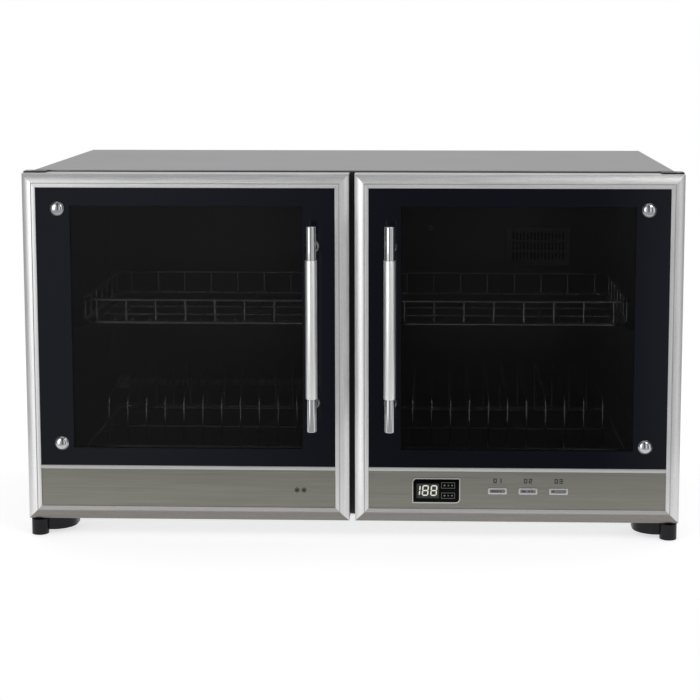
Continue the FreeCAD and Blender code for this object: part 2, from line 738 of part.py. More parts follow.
# ---------------------------------------------------------------- doors, drawn on the left

def frame_profile():
    """Section of the door frame as (w, d) edges, w inwards and d backwards."""
    run = Vector(BEVEL_WIDTH, -BEVEL_DEPTH, 0)
    normal = Vector(-BEVEL_DEPTH, -BEVEL_WIDTH, 0).normalize()
    start = Vector(0, BEVEL_DEPTH, 0)
    middle = start + run * 0.5 + normal * BEVEL_BULGE
    ridge = (BEVEL_WIDTH, 0)
    groove = BEVEL_WIDTH + GROOVE_WIDTH
    corners = [
        ridge, (BEVEL_WIDTH, GROOVE_DEPTH), (groove, GROOVE_DEPTH), (groove, 0),
        (FACE_WIDTH, 0), (FACE_WIDTH, GLASS_RECESS), (GLASS_EDGE, GLASS_RECESS),
        (GLASS_EDGE, CHANNEL_BACK), (FACE_WIDTH, CHANNEL_BACK), (FACE_WIDTH, CHANNEL_LIP),
        (FRAME_WALL, CHANNEL_LIP), (FRAME_WALL, REAR_LIP), (GLASS_EDGE, REAR_LIP),
        (GLASS_EDGE, DOOR_THICKNESS - PANEL_SHEET), (0, DOOR_THICKNESS - PANEL_SHEET),
        (0, BEVEL_DEPTH),
    ]
    return start, middle, corners


def frame_bar(corner, along, inward, length):
    """One mitred bar: from a corner, along one side, with its section facing inwards."""
    start, middle, corners = frame_profile()
    back = Vector(0, 1, 0)

    def place(w, d):
        return corner + inward * w + back * d

    edges = [Part.Arc(place(start.x, start.y), place(middle.x, middle.y), place(*corners[0])).toShape()]
    for a, b in zip(corners, corners[1:]):
        edges.append(Part.makeLine(place(*a), place(*b)))
    bar = Part.Face(Part.Wire(edges)).extrude(along * length)
    reach = 25.0
    mitre = [corner, corner + along * length,
             corner + along * (length - reach) + inward * reach,
             corner + along * reach + inward * reach, corner]
    mitre = [p + back * -5 for p in mitre]
    wedge = Part.Face(Part.makePolygon(mitre)).extrude(back * (DOOR_THICKNESS + 10))
    return bar.common(wedge)


def door_frame():
    """Two stiles and two rails with mitred corners, drilled for the hinge bushes."""
    right, up = Vector(1, 0, 0), Vector(0, 0, 1)
    low_left = Vector(X_DOOR_OUT, Y_DOOR, Z_DOOR)
    high_left = Vector(X_DOOR_OUT, Y_DOOR, Z_DOOR_TOP)
    low_right = Vector(X_DOOR_IN, Y_DOOR, Z_DOOR)
    bars = [
        frame_bar(low_left, up, right, DOOR_HEIGHT),
        frame_bar(low_right, up, right * -1, DOOR_HEIGHT),
        frame_bar(low_left, right, up, DOOR_WIDTH),
        frame_bar(high_left, right, up * -1, DOOR_WIDTH),
    ]
    hole = rod((-HINGE_X, HINGE_Y, Z_DOOR - 1), (-HINGE_X, HINGE_Y, Z_DOOR_TOP + 1), BUSH_RADIUS)
    return [bar.cut(hole) for bar in bars]


def hinge_bushes():
    """Nylon bushes in the top and bottom rails."""
    bore = rod((-HINGE_X, HINGE_Y, 0), (-HINGE_X, HINGE_Y, HEIGHT), PIN_RADIUS + PIN_CLEARANCE)
    low = rod((-HINGE_X, HINGE_Y, Z_DOOR), (-HINGE_X, HINGE_Y, Z_DOOR + BUSH_LENGTH), BUSH_RADIUS)
    top = rod((-HINGE_X, HINGE_Y, Z_DOOR_TOP - BUSH_LENGTH), (-HINGE_X, HINGE_Y, Z_DOOR_TOP),
              BUSH_RADIUS)
    return [low.cut(bore), top.cut(bore)]


def divider_web_edges():
    middle = (Z_DIVIDER_LOW + Z_DIVIDER_TOP) / 2
    return middle - DIVIDER_WEB / 2, middle + DIVIDER_WEB / 2


def divider():
    """T-section bar between the glass and the fascia."""
    x0, x1 = X_DOOR_OUT + FACE_WIDTH, X_DOOR_IN - FACE_WIDTH
    web0, web1 = divider_web_edges()
    cap = box(x0, x1, Y_DOOR, Y_DOOR + GLASS_RECESS, Z_DIVIDER_LOW, Z_DIVIDER_TOP)
    web = box(x0, x1, Y_DOOR + GLASS_RECESS, Y_DOOR + CHANNEL_LIP, web0, web1)
    return fuse([cap, web])


def fixing_places():
    """Where screws and handle studs pass through the left door's glass."""
    places = [(-SCREW_X, z) for z in SCREW_Z]
    places += [(-HANDLE_X, HANDLE_Z + sign * POST_PITCH / 2) for sign in (-1, 1)]
    return places


def door_glass():
    """Outer glass, drilled for the screws and the handle."""
    x0, x1 = X_DOOR_OUT + GLASS_EDGE, X_DOOR_IN - GLASS_EDGE
    y0 = Y_DOOR + GLASS_RECESS
    pane = box(x0, x1, y0, y0 + GLASS_THICKNESS, divider_web_edges()[1], Z_DOOR_TOP - GLASS_EDGE)
    holes = [rod((x, y0 - 1, z), (x, y0 + GLASS_THICKNESS + 1, z), GLASS_HOLE_RADIUS)
             for x, z in fixing_places()]
    return cut(pane, holes)


def fascia():
    """Brushed sheet below the glass with a rim folded back."""
    x0, x1 = X_DOOR_OUT + GLASS_EDGE, X_DOOR_IN - GLASS_EDGE
    y0 = Y_DOOR + GLASS_RECESS
    z0, z1 = Z_DOOR + GLASS_EDGE, divider_web_edges()[0]
    block = box(x0, x1, y0, Y_DOOR + CHANNEL_BACK, z0, z1)
    inside = box(x0 + FASCIA_RIM, x1 - FASCIA_RIM, y0 + FASCIA_SHEET, Y_DOOR + CHANNEL_BACK + 1,
                 z0 + FASCIA_RIM, z1 - FASCIA_RIM)
    return block.cut(inside)


def right_fascia():
    """The mirrored fascia with openings for the display and the buttons."""
    y0, y1 = Y_DOOR, Y_DOOR + CHANNEL_BACK
    display = centred_block(DISPLAY_X, CONTROL_Z, DISPLAY_WIDTH - 2 * DISPLAY_LAP,
                            DISPLAY_HEIGHT - 2 * DISPLAY_LAP, y0, y1, display_corners(-DISPLAY_LAP))
    holes = [display]
    for x in BUTTON_X:
        holes.append(centred_block(x, CONTROL_Z, BEZEL_WIDTH - 2, BEZEL_HEIGHT - 2, y0, y1, (0.5,) * 4))
    return cut(mirrored(fascia()), holes)


def inner_panel():
    """Steel sheet that closes the back of the door, with the window cut out."""
    x0, x1 = X_DOOR_OUT + PANEL_INSET, X_DOOR_IN - PANEL_INSET
    y1 = Y_DOOR_BACK
    sheet = box(x0, x1, y1 - PANEL_SHEET, y1, Z_DOOR + PANEL_INSET, Z_DOOR_TOP - PANEL_INSET)
    m = WINDOW_MARGIN
    window = rounded_block(-WINDOW_OUT - m, -WINDOW_IN + m, y1 - 5, y1 + 1, WINDOW_Z0 - m, WINDOW_Z1 + m,
                           (12.0,) * 4)
    return sheet.cut(window)


def inner_glass():
    """Clear pane behind the window."""
    m = WINDOW_MARGIN + INNER_GLASS_LAP
    y1 = Y_DOOR_BACK - PANEL_SHEET
    return rounded_block(-WINDOW_OUT - m, -WINDOW_IN + m, y1 - GLASS_THICKNESS, y1, WINDOW_Z0 - m,
                         WINDOW_Z1 + m, (14.0,) * 4)


def gasket():
    """Sealing strip round the chamber's mouth."""
    return ring_of_strips(-GASKET_OUT, -GASKET_IN, GASKET_Z0, GASKET_Z1, GASKET_WIDTH,
                          Y_DOOR_BACK, Y_DOOR_BACK + GASKET_PROUD)


def handle_grip():
    """Straight tube between the end sleeves."""
    half = HANDLE_LENGTH / 2 - SLEEVE_LENGTH
    return rod((-HANDLE_X, HANDLE_Y, HANDLE_Z - half), (-HANDLE_X, HANDLE_Y, HANDLE_Z + half),
               HANDLE_RADIUS)


def handle_ends():
    """End sleeves, each with a post to the glass, its dome base and its stud."""
    ends = []
    glass = Y_DOOR + GLASS_RECESS
    for sign in (-1, 1):
        tip = HANDLE_Z + sign * HANDLE_LENGTH / 2
        seam = tip - sign * SLEEVE_LENGTH
        sleeve = rod((-HANDLE_X, HANDLE_Y, min(tip, seam)), (-HANDLE_X, HANDLE_Y, max(tip, seam)),
                     SLEEVE_RADIUS)
        rims = [e for e in sleeve.Edges if abs(e.BoundBox.ZMin - tip) < 0.01 and e.BoundBox.ZLength < 0.01]
        sleeve = sleeve.makeFillet(1.2, rims[:1])
        z = HANDLE_Z + sign * POST_PITCH / 2
        post = rod((-HANDLE_X, HANDLE_Y, z), (-HANDLE_X, glass, z), POST_RADIUS)
        stud = rod((-HANDLE_X, glass - 1, z), (-HANDLE_X, glass + STUD_END, z), STUD_RADIUS)
        behind = glass + GLASS_THICKNESS
        nut = rod((-HANDLE_X, behind, z), (-HANDLE_X, behind + 3, z), NUT_RADIUS)
        ends.append(fuse([sleeve, post, dome(-HANDLE_X, glass, z, DOME_RADIUS, DOME_HEIGHT), stud, nut]))
    return ends


def glass_screws():
    """Dome-headed screws on the hinge side of the glass."""
    glass = Y_DOOR + GLASS_RECESS
    behind = glass + GLASS_THICKNESS
    screws = []
    for z in SCREW_Z:
        head = dome(-SCREW_X, glass, z, DOME_RADIUS, DOME_HEIGHT)
        shank = rod((-SCREW_X, glass - 1, z), (-SCREW_X, behind + 4, z), STUD_RADIUS)
        nut = rod((-SCREW_X, behind, z), (-SCREW_X, behind + 3, z), NUT_RADIUS)
        screws.append(fuse([head, shank, nut]))
    return screws


# ---------------------------------------------------------------- controls

def display_corners(grow):
    """Corner radii of the display: two opposite corners are cut large."""
    large, small = DISPLAY_CORNER + grow, max(0.5, 1.5 + grow)
    return (small, large, small, large)


def display_bezel():
    """Thin rim round the display, with a sleeve through the fascia."""
    front = Y_DOOR + GLASS_RECESS - BEZEL_PROUD
    face = Y_DOOR + GLASS_RECESS
    rim = centred_block(DISPLAY_X, CONTROL_Z, DISPLAY_WIDTH, DISPLAY_HEIGHT, front, face,
                        display_corners(0))
    inset = DISPLAY_LAP + 0.1
    sleeve = centred_block(DISPLAY_X, CONTROL_Z, DISPLAY_WIDTH - 2 * inset, DISPLAY_HEIGHT - 2 * inset,
                           face, face + 4, display_corners(-inset))
    opening = centred_block(DISPLAY_X, CONTROL_Z, DISPLAY_WIDTH - 2 * DISPLAY_RIM,
                            DISPLAY_HEIGHT - 2 * DISPLAY_RIM, front - 1, face + 5,
                            display_corners(-DISPLAY_RIM))
    return fuse([rim, sleeve]).cut(opening)


def display_lens():
    """Dark window inside the rim."""
    slack = 0.05
    front = Y_DOOR + GLASS_RECESS - BEZEL_PROUD + 0.4
    return centred_block(DISPLAY_X, CONTROL_Z, DISPLAY_WIDTH - 2 * (DISPLAY_RIM + slack),
                         DISPLAY_HEIGHT - 2 * (DISPLAY_RIM + slack), front, front + 2.4,
                         display_corners(-DISPLAY_RIM - slack))


def button_bezels():
    """Three bright surrounds in the fascia."""
    front = Y_DOOR + GLASS_RECESS - BEZEL_PROUD
    face = Y_DOOR + GLASS_RECESS
    surrounds = []
    for x in BUTTON_X:
        rim = centred_block(x, CONTROL_Z, BEZEL_WIDTH, BEZEL_HEIGHT, front, face, (1.5,) * 4)
        sleeve = centred_block(x, CONTROL_Z, BEZEL_WIDTH - 2.2, BEZEL_HEIGHT - 2.2, face, face + 3,
                               (0.4,) * 4)
        opening = centred_block(x, CONTROL_Z, BUTTON_WIDTH + 2 * BUTTON_PLAY,
                                BUTTON_HEIGHT + 2 * BUTTON_PLAY, front - 1, face + 4, (0.8,) * 4)
        surrounds.append(fuse([rim, sleeve]).cut(opening))
    return surrounds


def button(x):
    """Push button with a stop flange behind its surround."""
    front = Y_DOOR + GLASS_RECESS - BEZEL_PROUD + 0.5
    flange = Y_DOOR + GLASS_RECESS + 3.2
    cap = centred_block(x, CONTROL_Z, BUTTON_WIDTH, BUTTON_HEIGHT, front, flange + 0.5, (0.7,) * 4)
    stop = centred_block(x, CONTROL_Z, BUTTON_WIDTH + 3, BUTTON_HEIGHT + 2.4, flange, flange + 1,
                         (0.7,) * 4)
    stem = rod((x, flange, CONTROL_Z), (x, Y_DOOR + 9, CONTROL_Z), 1.5)
    return fuse([cap, stop, stem])


def control_board():
    """Circuit board behind the fascia, with the display module, switches and spacers."""
    y = Y_DOOR + BOARD_DEPTH
    pieces = [box(64, 276, y, y + BOARD_SHEET, CONTROL_Z - 18, CONTROL_Z + 18)]
    pieces.append(box(DISPLAY_X - 22, DISPLAY_X + 22, Y_DOOR + 4, y + 1, CONTROL_Z - 11, CONTROL_Z + 11))
    for x in BUTTON_X:
        pieces.append(box(x - 3, x + 3, y - 1.2, y + 1, CONTROL_Z - 3, CONTROL_Z + 3))
    for x in (69.0, 146.0, 271.0):
        pieces.append(rod((x, Y_DOOR + GLASS_RECESS + FASCIA_SHEET, CONTROL_Z - 14),
                          (x, y + 1, CONTROL_Z - 14), 2.5))
    return fuse(pieces)


# ---------------------------------------------------------------- the assembly

def add(name, solids):
    """Keep a node's solids under its name."""
    nodes[name] = solids if isinstance(solids, list) else [solids]


def add_pair(name, solids):
    """Keep the left node and its mirror image as the right one."""
    solids = solids if isinstance(solids, list) else [solids]
    add("left_" + name, solids)
    add("right_" + name, [mirrored(s) for s in solids])


def shifted(solids, x):
    """Copies of solids moved along X."""
    return [s.translated(Vector(x, 0, 0)) for s in solids]


add("top_panel", top_panel())
add_pair("side_panel", side_panel())
add("bottom_panel", bottom_panel())
add("back_panel", back_panel())
add("front_frame", front_frame())
add("left_liner", left_liner())
add("right_liner", right_liner())
add("insulation_blankets", insulation_blankets())
add("rack_rails", rack_rails())
add("heater_tubes", heater_tubes())
add("heater_holders", heater_holders())
add("vent_grille", vent_grille())
add("air_heater", air_heater())
add("fan_housing", fan_housing())
add("fan_rotor", fan_rotor())
add("ozone_generator", ozone_generator())
add("power_board", power_board())
add("cable_gland", cable_gland())
add("panel_screws", panel_screws())
add("hinge_brackets", hinge_brackets())
add("hinge_pins", hinge_pins())
add("magnetic_catches", magnetic_catches())
add("front_feet", [front_foot(), mirrored(front_foot())])
add("rear_feet", [rear_foot(), mirrored(rear_foot())])
add("foot_pads", foot_pads())

add_pair("door_frame", door_frame())
add_pair("hinge_bushes", hinge_bushes())
add_pair("divider", divider())
add_pair("door_glass", door_glass())
add("left_fascia", fascia())
add("right_fascia", right_fascia())
add_pair("inner_panel", inner_panel())
add_pair("inner_glass", inner_glass())
add_pair("gasket", gasket())
add_pair("handle_grip", handle_grip())
add_pair("handle_ends", handle_ends())
add_pair("glass_screws", glass_screws())

add("display_bezel", display_bezel())
add("display_lens", display_lens())
add("button_bezels", button_bezels())
add("control_board", control_board())
for number, button_x in enumerate(BUTTON_X, start=1):
    add("button_%d" % number, button(button_x))

basket_pieces = basket()
plate_rack_pieces = plate_rack()
for side, sign in (("left", -1), ("right", 1)):
    add(side + "_basket", shifted(basket_pieces, sign * CHAMBER_MID))
    add(side + "_plate_rack", shifted(plate_rack_pieces, sign * CHAMBER_MID))

os.makedirs("parts", exist_ok=True)
for name, solids in nodes.items():
    shape = solids[0] if len(solids) == 1 else Part.makeCompound(solids)
    shape.exportStep("parts/" + name + ".step")
    print(name, len(shape.Solids), "valid" if shape.isValid() else "INVALID", round(shape.Volume))
print(len(nodes), "nodes")
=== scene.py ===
"""Looks of a two-door dish sterilizer cabinet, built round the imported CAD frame.

Metres, +Z up, the doors face -Y.
"""
import math

import bpy
import bmesh
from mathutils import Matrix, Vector


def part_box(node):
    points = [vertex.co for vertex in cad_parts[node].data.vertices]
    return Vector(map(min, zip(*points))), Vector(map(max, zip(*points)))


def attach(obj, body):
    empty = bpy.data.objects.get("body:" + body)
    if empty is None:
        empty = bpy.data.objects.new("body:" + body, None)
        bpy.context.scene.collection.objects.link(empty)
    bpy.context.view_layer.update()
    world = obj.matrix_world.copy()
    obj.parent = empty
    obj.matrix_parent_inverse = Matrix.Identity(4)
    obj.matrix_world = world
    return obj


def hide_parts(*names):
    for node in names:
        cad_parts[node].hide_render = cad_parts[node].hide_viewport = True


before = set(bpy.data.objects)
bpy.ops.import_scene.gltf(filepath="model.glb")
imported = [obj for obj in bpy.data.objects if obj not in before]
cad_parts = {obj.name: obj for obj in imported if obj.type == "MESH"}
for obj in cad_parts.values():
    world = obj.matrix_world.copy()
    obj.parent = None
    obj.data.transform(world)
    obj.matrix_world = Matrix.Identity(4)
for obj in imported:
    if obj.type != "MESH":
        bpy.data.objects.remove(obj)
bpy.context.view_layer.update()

MM = 0.001
SIDES = ("left", "right")

# ---- door frame section, w inwards from the outer edge and d back from the front plane ----
BEVEL_WIDTH = 11.5 * MM
BEVEL_DEPTH = 4.5 * MM
BEVEL_BULGE = 0.9 * MM
BEVEL_STEPS = (0.2, 0.4, 0.6, 0.8)
BEVEL_FOOT = 0.5 * MM
EDGE_RADIUS = 0.35 * MM
CORNER_STEPS = 4
FACE_RADIUS = 0.2 * MM
GROOVE_WIDTH = 0.8 * MM
GROOVE_DEPTH = 0.6 * MM
FACE_WIDTH = 17.0 * MM
GLASS_RECESS = 1.2 * MM
GLASS_EDGE = 14.0 * MM
CHANNEL_BACK = 5.4 * MM
CHANNEL_LIP = 7.4 * MM
FRAME_WALL = 2.2 * MM
REAR_LIP = 26.8 * MM
MITRE_GAP = 0.05 * MM

# ---- glass print: the clear window in the black border ----
WINDOW_OUT = 342.0 * MM
WINDOW_IN = 60.0 * MM
WINDOW_LOW = 112.0 * MM
WINDOW_HIGH = 411.0 * MM
WINDOW_EDGE = 0.4 * MM
WINDOW_ALPHA = 0.47

# ---- handles and the screws through the glass ----
POST_PITCH = 192.0 * MM
POST_RADIUS = 4.5 * MM
# added radius and distance from the glass in mm, first on the post and then on its collar
POST_FLARE = ((0.0, 8.5), (0.3, 6.0), (1.4, 4.2), (2.8, 3.0))
COLLAR_EDGE = ((-0.3, 1.6), (0.0, 0.9), (0.0, 0.2), (-0.3, 0.0))
DOME_RADIUS = 8.5 * MM
DOME_COLLAR = 1.1 * MM
DOME_STEPS = 9
SLEEVE_RADIUS = 6.3 * MM
SLEEVE_NECK = 0.25 * MM
# where the neck starts, where it ends and where the sleeve has its full radius
SLEEVE_NECK_SPAN = (0.02 * MM, 0.7 * MM, 0.9 * MM)
SLEEVE_ROUND = 1.2 * MM
SLEEVE_STEPS = 5
GRIP_EDGE = 0.5 * MM
STUD_RADIUS = 2.5 * MM
STUD_END = 2.3 * MM
NUT_RADIUS = 5.0 * MM
NUT_FRONT = 4.0 * MM
NUT_BACK = 6.8 * MM
NUT_STEP = 0.01 * MM
NUT_CHAMFER = 0.2 * MM

# ---- bar under the glass ----
DIVIDER_WEB = 0.8 * MM
DIVIDER_EDGE = 0.35 * MM
# rise from the middle or the foot, and distance behind the front
DIVIDER_FOLD = ((0.5 * MM, 0.0), (-0.4 * MM, 0.12 * MM))
DIVIDER_FOOT = (0.3 * MM, 0.75 * MM)

# ---- display, from the middle of its lens; a relief is how far print stands out and is set in ----
DIGIT_SIZE = (8.0 * MM, 13.4 * MM)
DIGIT_BAR = 1.5 * MM
DIGIT_SLANT = 0.08
DIGIT_RISE = 0.1 * MM
DIGIT_PLACES = (("1", -23.4 * MM), ("8", -13.3 * MM), ("8", -2.9 * MM))
DIGIT_RELIEF = (0.12 * MM, 0.05 * MM)
MARK_BOX = (6.2 * MM, 22.8 * MM)
MARK_ROWS = (6.6 * MM, -6.2 * MM)
MARK_HALF = 3.6 * MM
MARK_LINE = 0.35 * MM
MARK_START = 4.0 * MM
MARK_PITCH = 4.6 * MM
MARK_SIZES = (1.3 * MM, 0.9 * MM, 1.1 * MM)
PATCH_X = (-24.0 * MM, 3.4 * MM)
PATCH_Z = (-9.6 * MM, 8.6 * MM)
PATCH_RELIEF = (0.04 * MM, 0.05 * MM)

# ---- print on the fascias and buttons ----
LABEL_RISE = 12.7 * MM
LABEL_SHIFT = 2.9 * MM
LABEL_SIZE = (4.2 * MM, 5.8 * MM)
LABEL_BAR = 1.25 * MM
FASCIA_RELIEF = (0.05 * MM, 0.02 * MM)
STAR_X = (-67.6 * MM, -59.0 * MM)
STAR_DROP = 0.8 * MM
STAR_RADIUS = 3.4 * MM
STAR_HALF_LINE = 0.75 * MM
STAR_LINES = 3
# each line of a star stands this much above the one before, so that no two fronts share a plane
STAR_STEP = 0.002 * MM
BLOCK_HALF_HEIGHT = 0.75 * MM
BLOCK_HALF_WIDTHS = (1.25 * MM, 1.10 * MM)
# places along each button in mm from its middle
BLOCK_PLACES = {1: (-5.6, -2.6, 0.6, 4.2), 2: (-6.4, -3.8, 1.2, 5.0), 3: (-6.6,)}
BLOCK_RELIEF = (0.04 * MM, 0.03 * MM)

# ---- screws of the back ----
BACK_SCREW_RADIUS = 3.6 * MM
BACK_SCREW_ROWS = (40.0 * MM, 150.0 * MM, 300.0 * MM, 425.0 * MM)
BACK_SCREW_SEGMENTS = 40
# shares of the head's radius and height
PAN_HEAD = ((1.0, 0.0), (1.0, 0.35), (0.93, 0.68), (0.8, 0.85), (0.62, 0.94))
# the cross is a thin black sheet just above the head, painted shade of a cross recess
CROSS_HEIGHT = 0.945
CROSS_ARMS = ((2.0 * MM, 0.55 * MM), (0.55 * MM, 2.0 * MM))
CROSS_RELIEF = 0.02 * MM

DOOR_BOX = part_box("left_door_frame")
Y_DOOR = DOOR_BOX[0].y
Y_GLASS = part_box("left_door_glass")[0].y
Y_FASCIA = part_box("left_fascia")[0].y


# ---------------------------------------------------------------- camera, light and floor

CAMERA_PLACE = (0.096, -2.246, 0.617)
CAMERA_YAW = math.radians(-1.78)
CAMERA_PITCH = math.radians(6.74)
FOCAL_PIXELS = 1725.0
PICTURE = 700.0
SENSOR = 36.0
CAMERA_SHIFT = (-0.04, -0.16)
FLOOR_WIDE = 1.3
FLOOR_DEEP = 0.78
FLOOR_BACK = 0.35
FLOOR_STEPS = 96
FLOOR_LIFT = 0.66
FLOOR_GREY = (0.5, 0.5, 0.5)
# name, place, width, height and radiance of each soft box: low at the left, higher at the right, overhead
LAMPS = (
    ("soft_left", (-1.5, -2.0, 0.85), 1.0, 1.5, 1.9),
    ("soft_right", (1.05, -1.45, 1.60), 0.9, 0.9, 3.0),
    ("soft_top", (0.0, 0.35, 2.3), 2.2, 1.4, 0.9),
)
LAMP_TARGET = (0.0, -0.15, 0.25)


def add_camera():
    """Camera a little right of the middle and above the top, leaning down."""
    data = bpy.data.cameras.new("camera")
    camera = bpy.data.objects.new("camera", data)
    bpy.context.scene.collection.objects.link(camera)
    forward = Vector((math.sin(CAMERA_YAW) * math.cos(CAMERA_PITCH),
                      math.cos(CAMERA_YAW) * math.cos(CAMERA_PITCH),
                      -math.sin(CAMERA_PITCH)))
    camera.location = CAMERA_PLACE
    camera.rotation_mode = "QUATERNION"
    camera.rotation_quaternion = forward.to_track_quat("-Z", "Y")
    data.sensor_width = SENSOR
    data.lens = FOCAL_PIXELS / PICTURE * SENSOR
    data.shift_x, data.shift_y = CAMERA_SHIFT
    data.clip_end = 60.0
    bpy.context.scene.camera = camera


def area_lamp(name, place, width, height, radiance):
    """Soft rectangular lamp aimed at the cabinet; its face looks as bright as the radiance."""
    data = bpy.data.lights.new(name, "AREA")
    data.shape = "RECTANGLE"
    data.size = width
    data.size_y = height
    data.energy = radiance * width * height * math.pi
    lamp = bpy.data.objects.new(name, data)
    bpy.context.scene.collection.objects.link(lamp)
    lamp.location = place
    aim = Vector(LAMP_TARGET) - Vector(place)
    lamp.rotation_mode = "QUATERNION"
    lamp.rotation_quaternion = aim.to_track_quat("-Z", "Y")


def add_lamps():
    """Soft boxes round the cabinet."""
    for lamp in LAMPS:
        area_lamp(*lamp)


def combine(tree, operation, *values):
    """Result of a math node; each value is a socket or a number."""
    node = tree.nodes.new("ShaderNodeMath")
    node.operation = operation
    for socket, value in zip(node.inputs, values):
        if isinstance(value, float):
            socket.default_value = value
        else:
            tree.links.new(value, socket)
    return node.outputs[0]


def remap(tree, value, low, high, from_low=0.3, from_high=0.7, smooth=False):
    """Value spread over a new range and held at its ends."""
    node = tree.nodes.new("ShaderNodeMapRange")
    if smooth:
        node.interpolation_type = "SMOOTHSTEP"
    node.inputs["From Min"].default_value = from_low
    node.inputs["From Max"].default_value = from_high
    node.inputs["To Min"].default_value = low
    node.inputs["To Max"].default_value = high
    tree.links.new(value, node.inputs["Value"])
    return node.outputs[0]


def light_path(tree, *names):
    """1 when the ray is one of the named kinds."""
    path = tree.nodes.new("ShaderNodeLightPath")
    total = path.outputs[names[0]]
    for name in names[1:]:
        total = combine(tree, "MAXIMUM", total, path.outputs[name])
    return total


# brightness of the studio that metal and glass reflect, by the angle from straight in front in degrees;
# negative angles are on the left, and the sides and back are the white background
STUDIO = (
    (-120, 0.88), (-100, 0.45), (-80, 0.30), (-62, 0.35), (-50, 1.10), (-44, 2.00), (-28, 2.00),
    (-22, 0.60), (-10, 0.55), (-1, 0.10), (6, 0.10), (11, 1.15), (19, 1.15), (25, 0.20), (37, 0.22),
    (43, 1.20), (63, 1.20), (70, 0.20), (92, 0.22), (104, 0.70), (120, 0.88),
)
# where the studio's light changes, as the upward or backward part of the direction looked in
CEILING_FADE = (0.27, 0.54)
CEILING_LIGHT = 0.38
GROUND_FADE = (-0.26, -0.36)
GROUND_LIGHT = 0.55
BACK_FADE = (-0.25, 0.10)
AMBIENT = (0.62, 0.62, 0.63)
WHITE = (1.0, 1.0, 1.0)


def studio_ramp(tree, direction):
    """Colour of the studio round the cabinet, from the angle of a direction."""
    ahead = combine(tree, "MULTIPLY", direction.outputs["Y"], -1.0)
    turn = combine(tree, "ARCTAN2", direction.outputs["X"], ahead)
    ramp = tree.nodes.new("ShaderNodeValToRGB")
    stops = ramp.color_ramp.elements
    while len(stops) > 1:
        stops.remove(stops[-1])
    for i, (angle, value) in enumerate(STUDIO):
        place = 0.5 + angle / 360.0
        if i == 0:
            stops[0].position = place
        stop = stops[0] if i == 0 else stops.new(place)
        stop.color = (value, value, value * 1.01, 1.0)
    tree.links.new(remap(tree, turn, 0.0, 1.0, -math.pi, math.pi), ramp.inputs[0])
    return ramp.outputs[0]


def background(tree, colour, strength=1.0):
    """Background shader of one colour."""
    node = tree.nodes.new("ShaderNodeBackground")
    node.inputs["Color"].default_value = (*colour, 1.0)
    node.inputs["Strength"].default_value = strength
    return node


def mixed(tree, share, first, second):
    """Second shader over the first by a share."""
    node = tree.nodes.new("ShaderNodeMixShader")
    tree.links.new(share, node.inputs[0])
    tree.links.new(first.outputs[0], node.inputs[1])
    tree.links.new(second.outputs[0], node.inputs[2])
    return node


def add_world():
    """White background; in front of the cabinet metal and glass see a studio with soft panels."""
    world = bpy.data.worlds.new("studio")
    bpy.context.scene.world = world
    world.use_nodes = True
    tree = world.node_tree
    tree.nodes.clear()
    out = tree.nodes.new("ShaderNodeOutputWorld")
    coord = tree.nodes.new("ShaderNodeTexCoord")
    direction = tree.nodes.new("ShaderNodeSeparateXYZ")
    tree.links.new(coord.outputs["Generated"], direction.inputs[0])
    height = direction.outputs["Z"]
    ceiling = remap(tree, height, 1.0, CEILING_LIGHT, *CEILING_FADE, smooth=True)
    behind = remap(tree, direction.outputs["Y"], 0.0, 1.0, *BACK_FADE)
    studio = background(tree, WHITE)
    tree.links.new(studio_ramp(tree, direction), studio.inputs["Color"])
    tree.links.new(combine(tree, "MAXIMUM", ceiling, behind), studio.inputs["Strength"])
    below = remap(tree, height, 0.0, 1.0, *GROUND_FADE, smooth=True)
    mirrored = mixed(tree, below, studio, background(tree, WHITE, GROUND_LIGHT))
    mirror_ray = light_path(tree, "Is Glossy Ray", "Is Transmission Ray")
    lit = mixed(tree, mirror_ray, background(tree, AMBIENT), mirrored)
    seen = mixed(tree, light_path(tree, "Is Camera Ray"), lit, background(tree, WHITE))
    tree.links.new(seen.outputs[0], out.inputs[0])


def add_floor():
    """Plain pale table top that keeps the cabinet's soft shadow and ends in the white background."""
    mesh = bpy.data.meshes.new("floor")
    rim = []
    for k in range(FLOOR_STEPS):
        turn = math.tau * k / FLOOR_STEPS
        rim.append((FLOOR_WIDE * math.cos(turn), FLOOR_BACK + FLOOR_DEEP * math.sin(turn), 0))
    mesh.from_pydata(rim, [], [tuple(range(FLOOR_STEPS))])
    floor = bpy.data.objects.new("floor", mesh)
    bpy.context.scene.collection.objects.link(floor)
    material, shader = new_material("floor_white", FLOOR_GREY, 0.0, 0.9)
    tree = material.node_tree
    lift = tree.nodes.new("ShaderNodeEmission")
    lift.inputs["Strength"].default_value = FLOOR_LIFT
    lifted = tree.nodes.new("ShaderNodeAddShader")
    tree.links.new(shader.outputs[0], lifted.inputs[0])
    tree.links.new(lift.outputs[0], lifted.inputs[1])
    seen = light_path(tree, "Is Camera Ray", "Is Glossy Ray", "Is Transmission Ray")
    surface = mixed(tree, seen, shader, lifted)
    out = next(n for n in tree.nodes if n.type == "OUTPUT_MATERIAL")
    tree.links.new(surface.outputs[0], out.inputs["Surface"])
    mesh.materials.append(material)


# ---------------------------------------------------------------- materials

# how far a hairline is drawn out along the brushing
HAIRLINE = 0.012


def new_material(name, colour, metallic, roughness):
    """Material with one Principled shader; returns the material and the shader node."""
    material = bpy.data.materials.new(name)
    material.use_nodes = True
    shader = material.node_tree.nodes["Principled BSDF"]
    shader.inputs["Base Color"].default_value = (*colour, 1.0)
    shader.inputs["Metallic"].default_value = metallic
    shader.inputs["Roughness"].default_value = roughness
    return material, shader


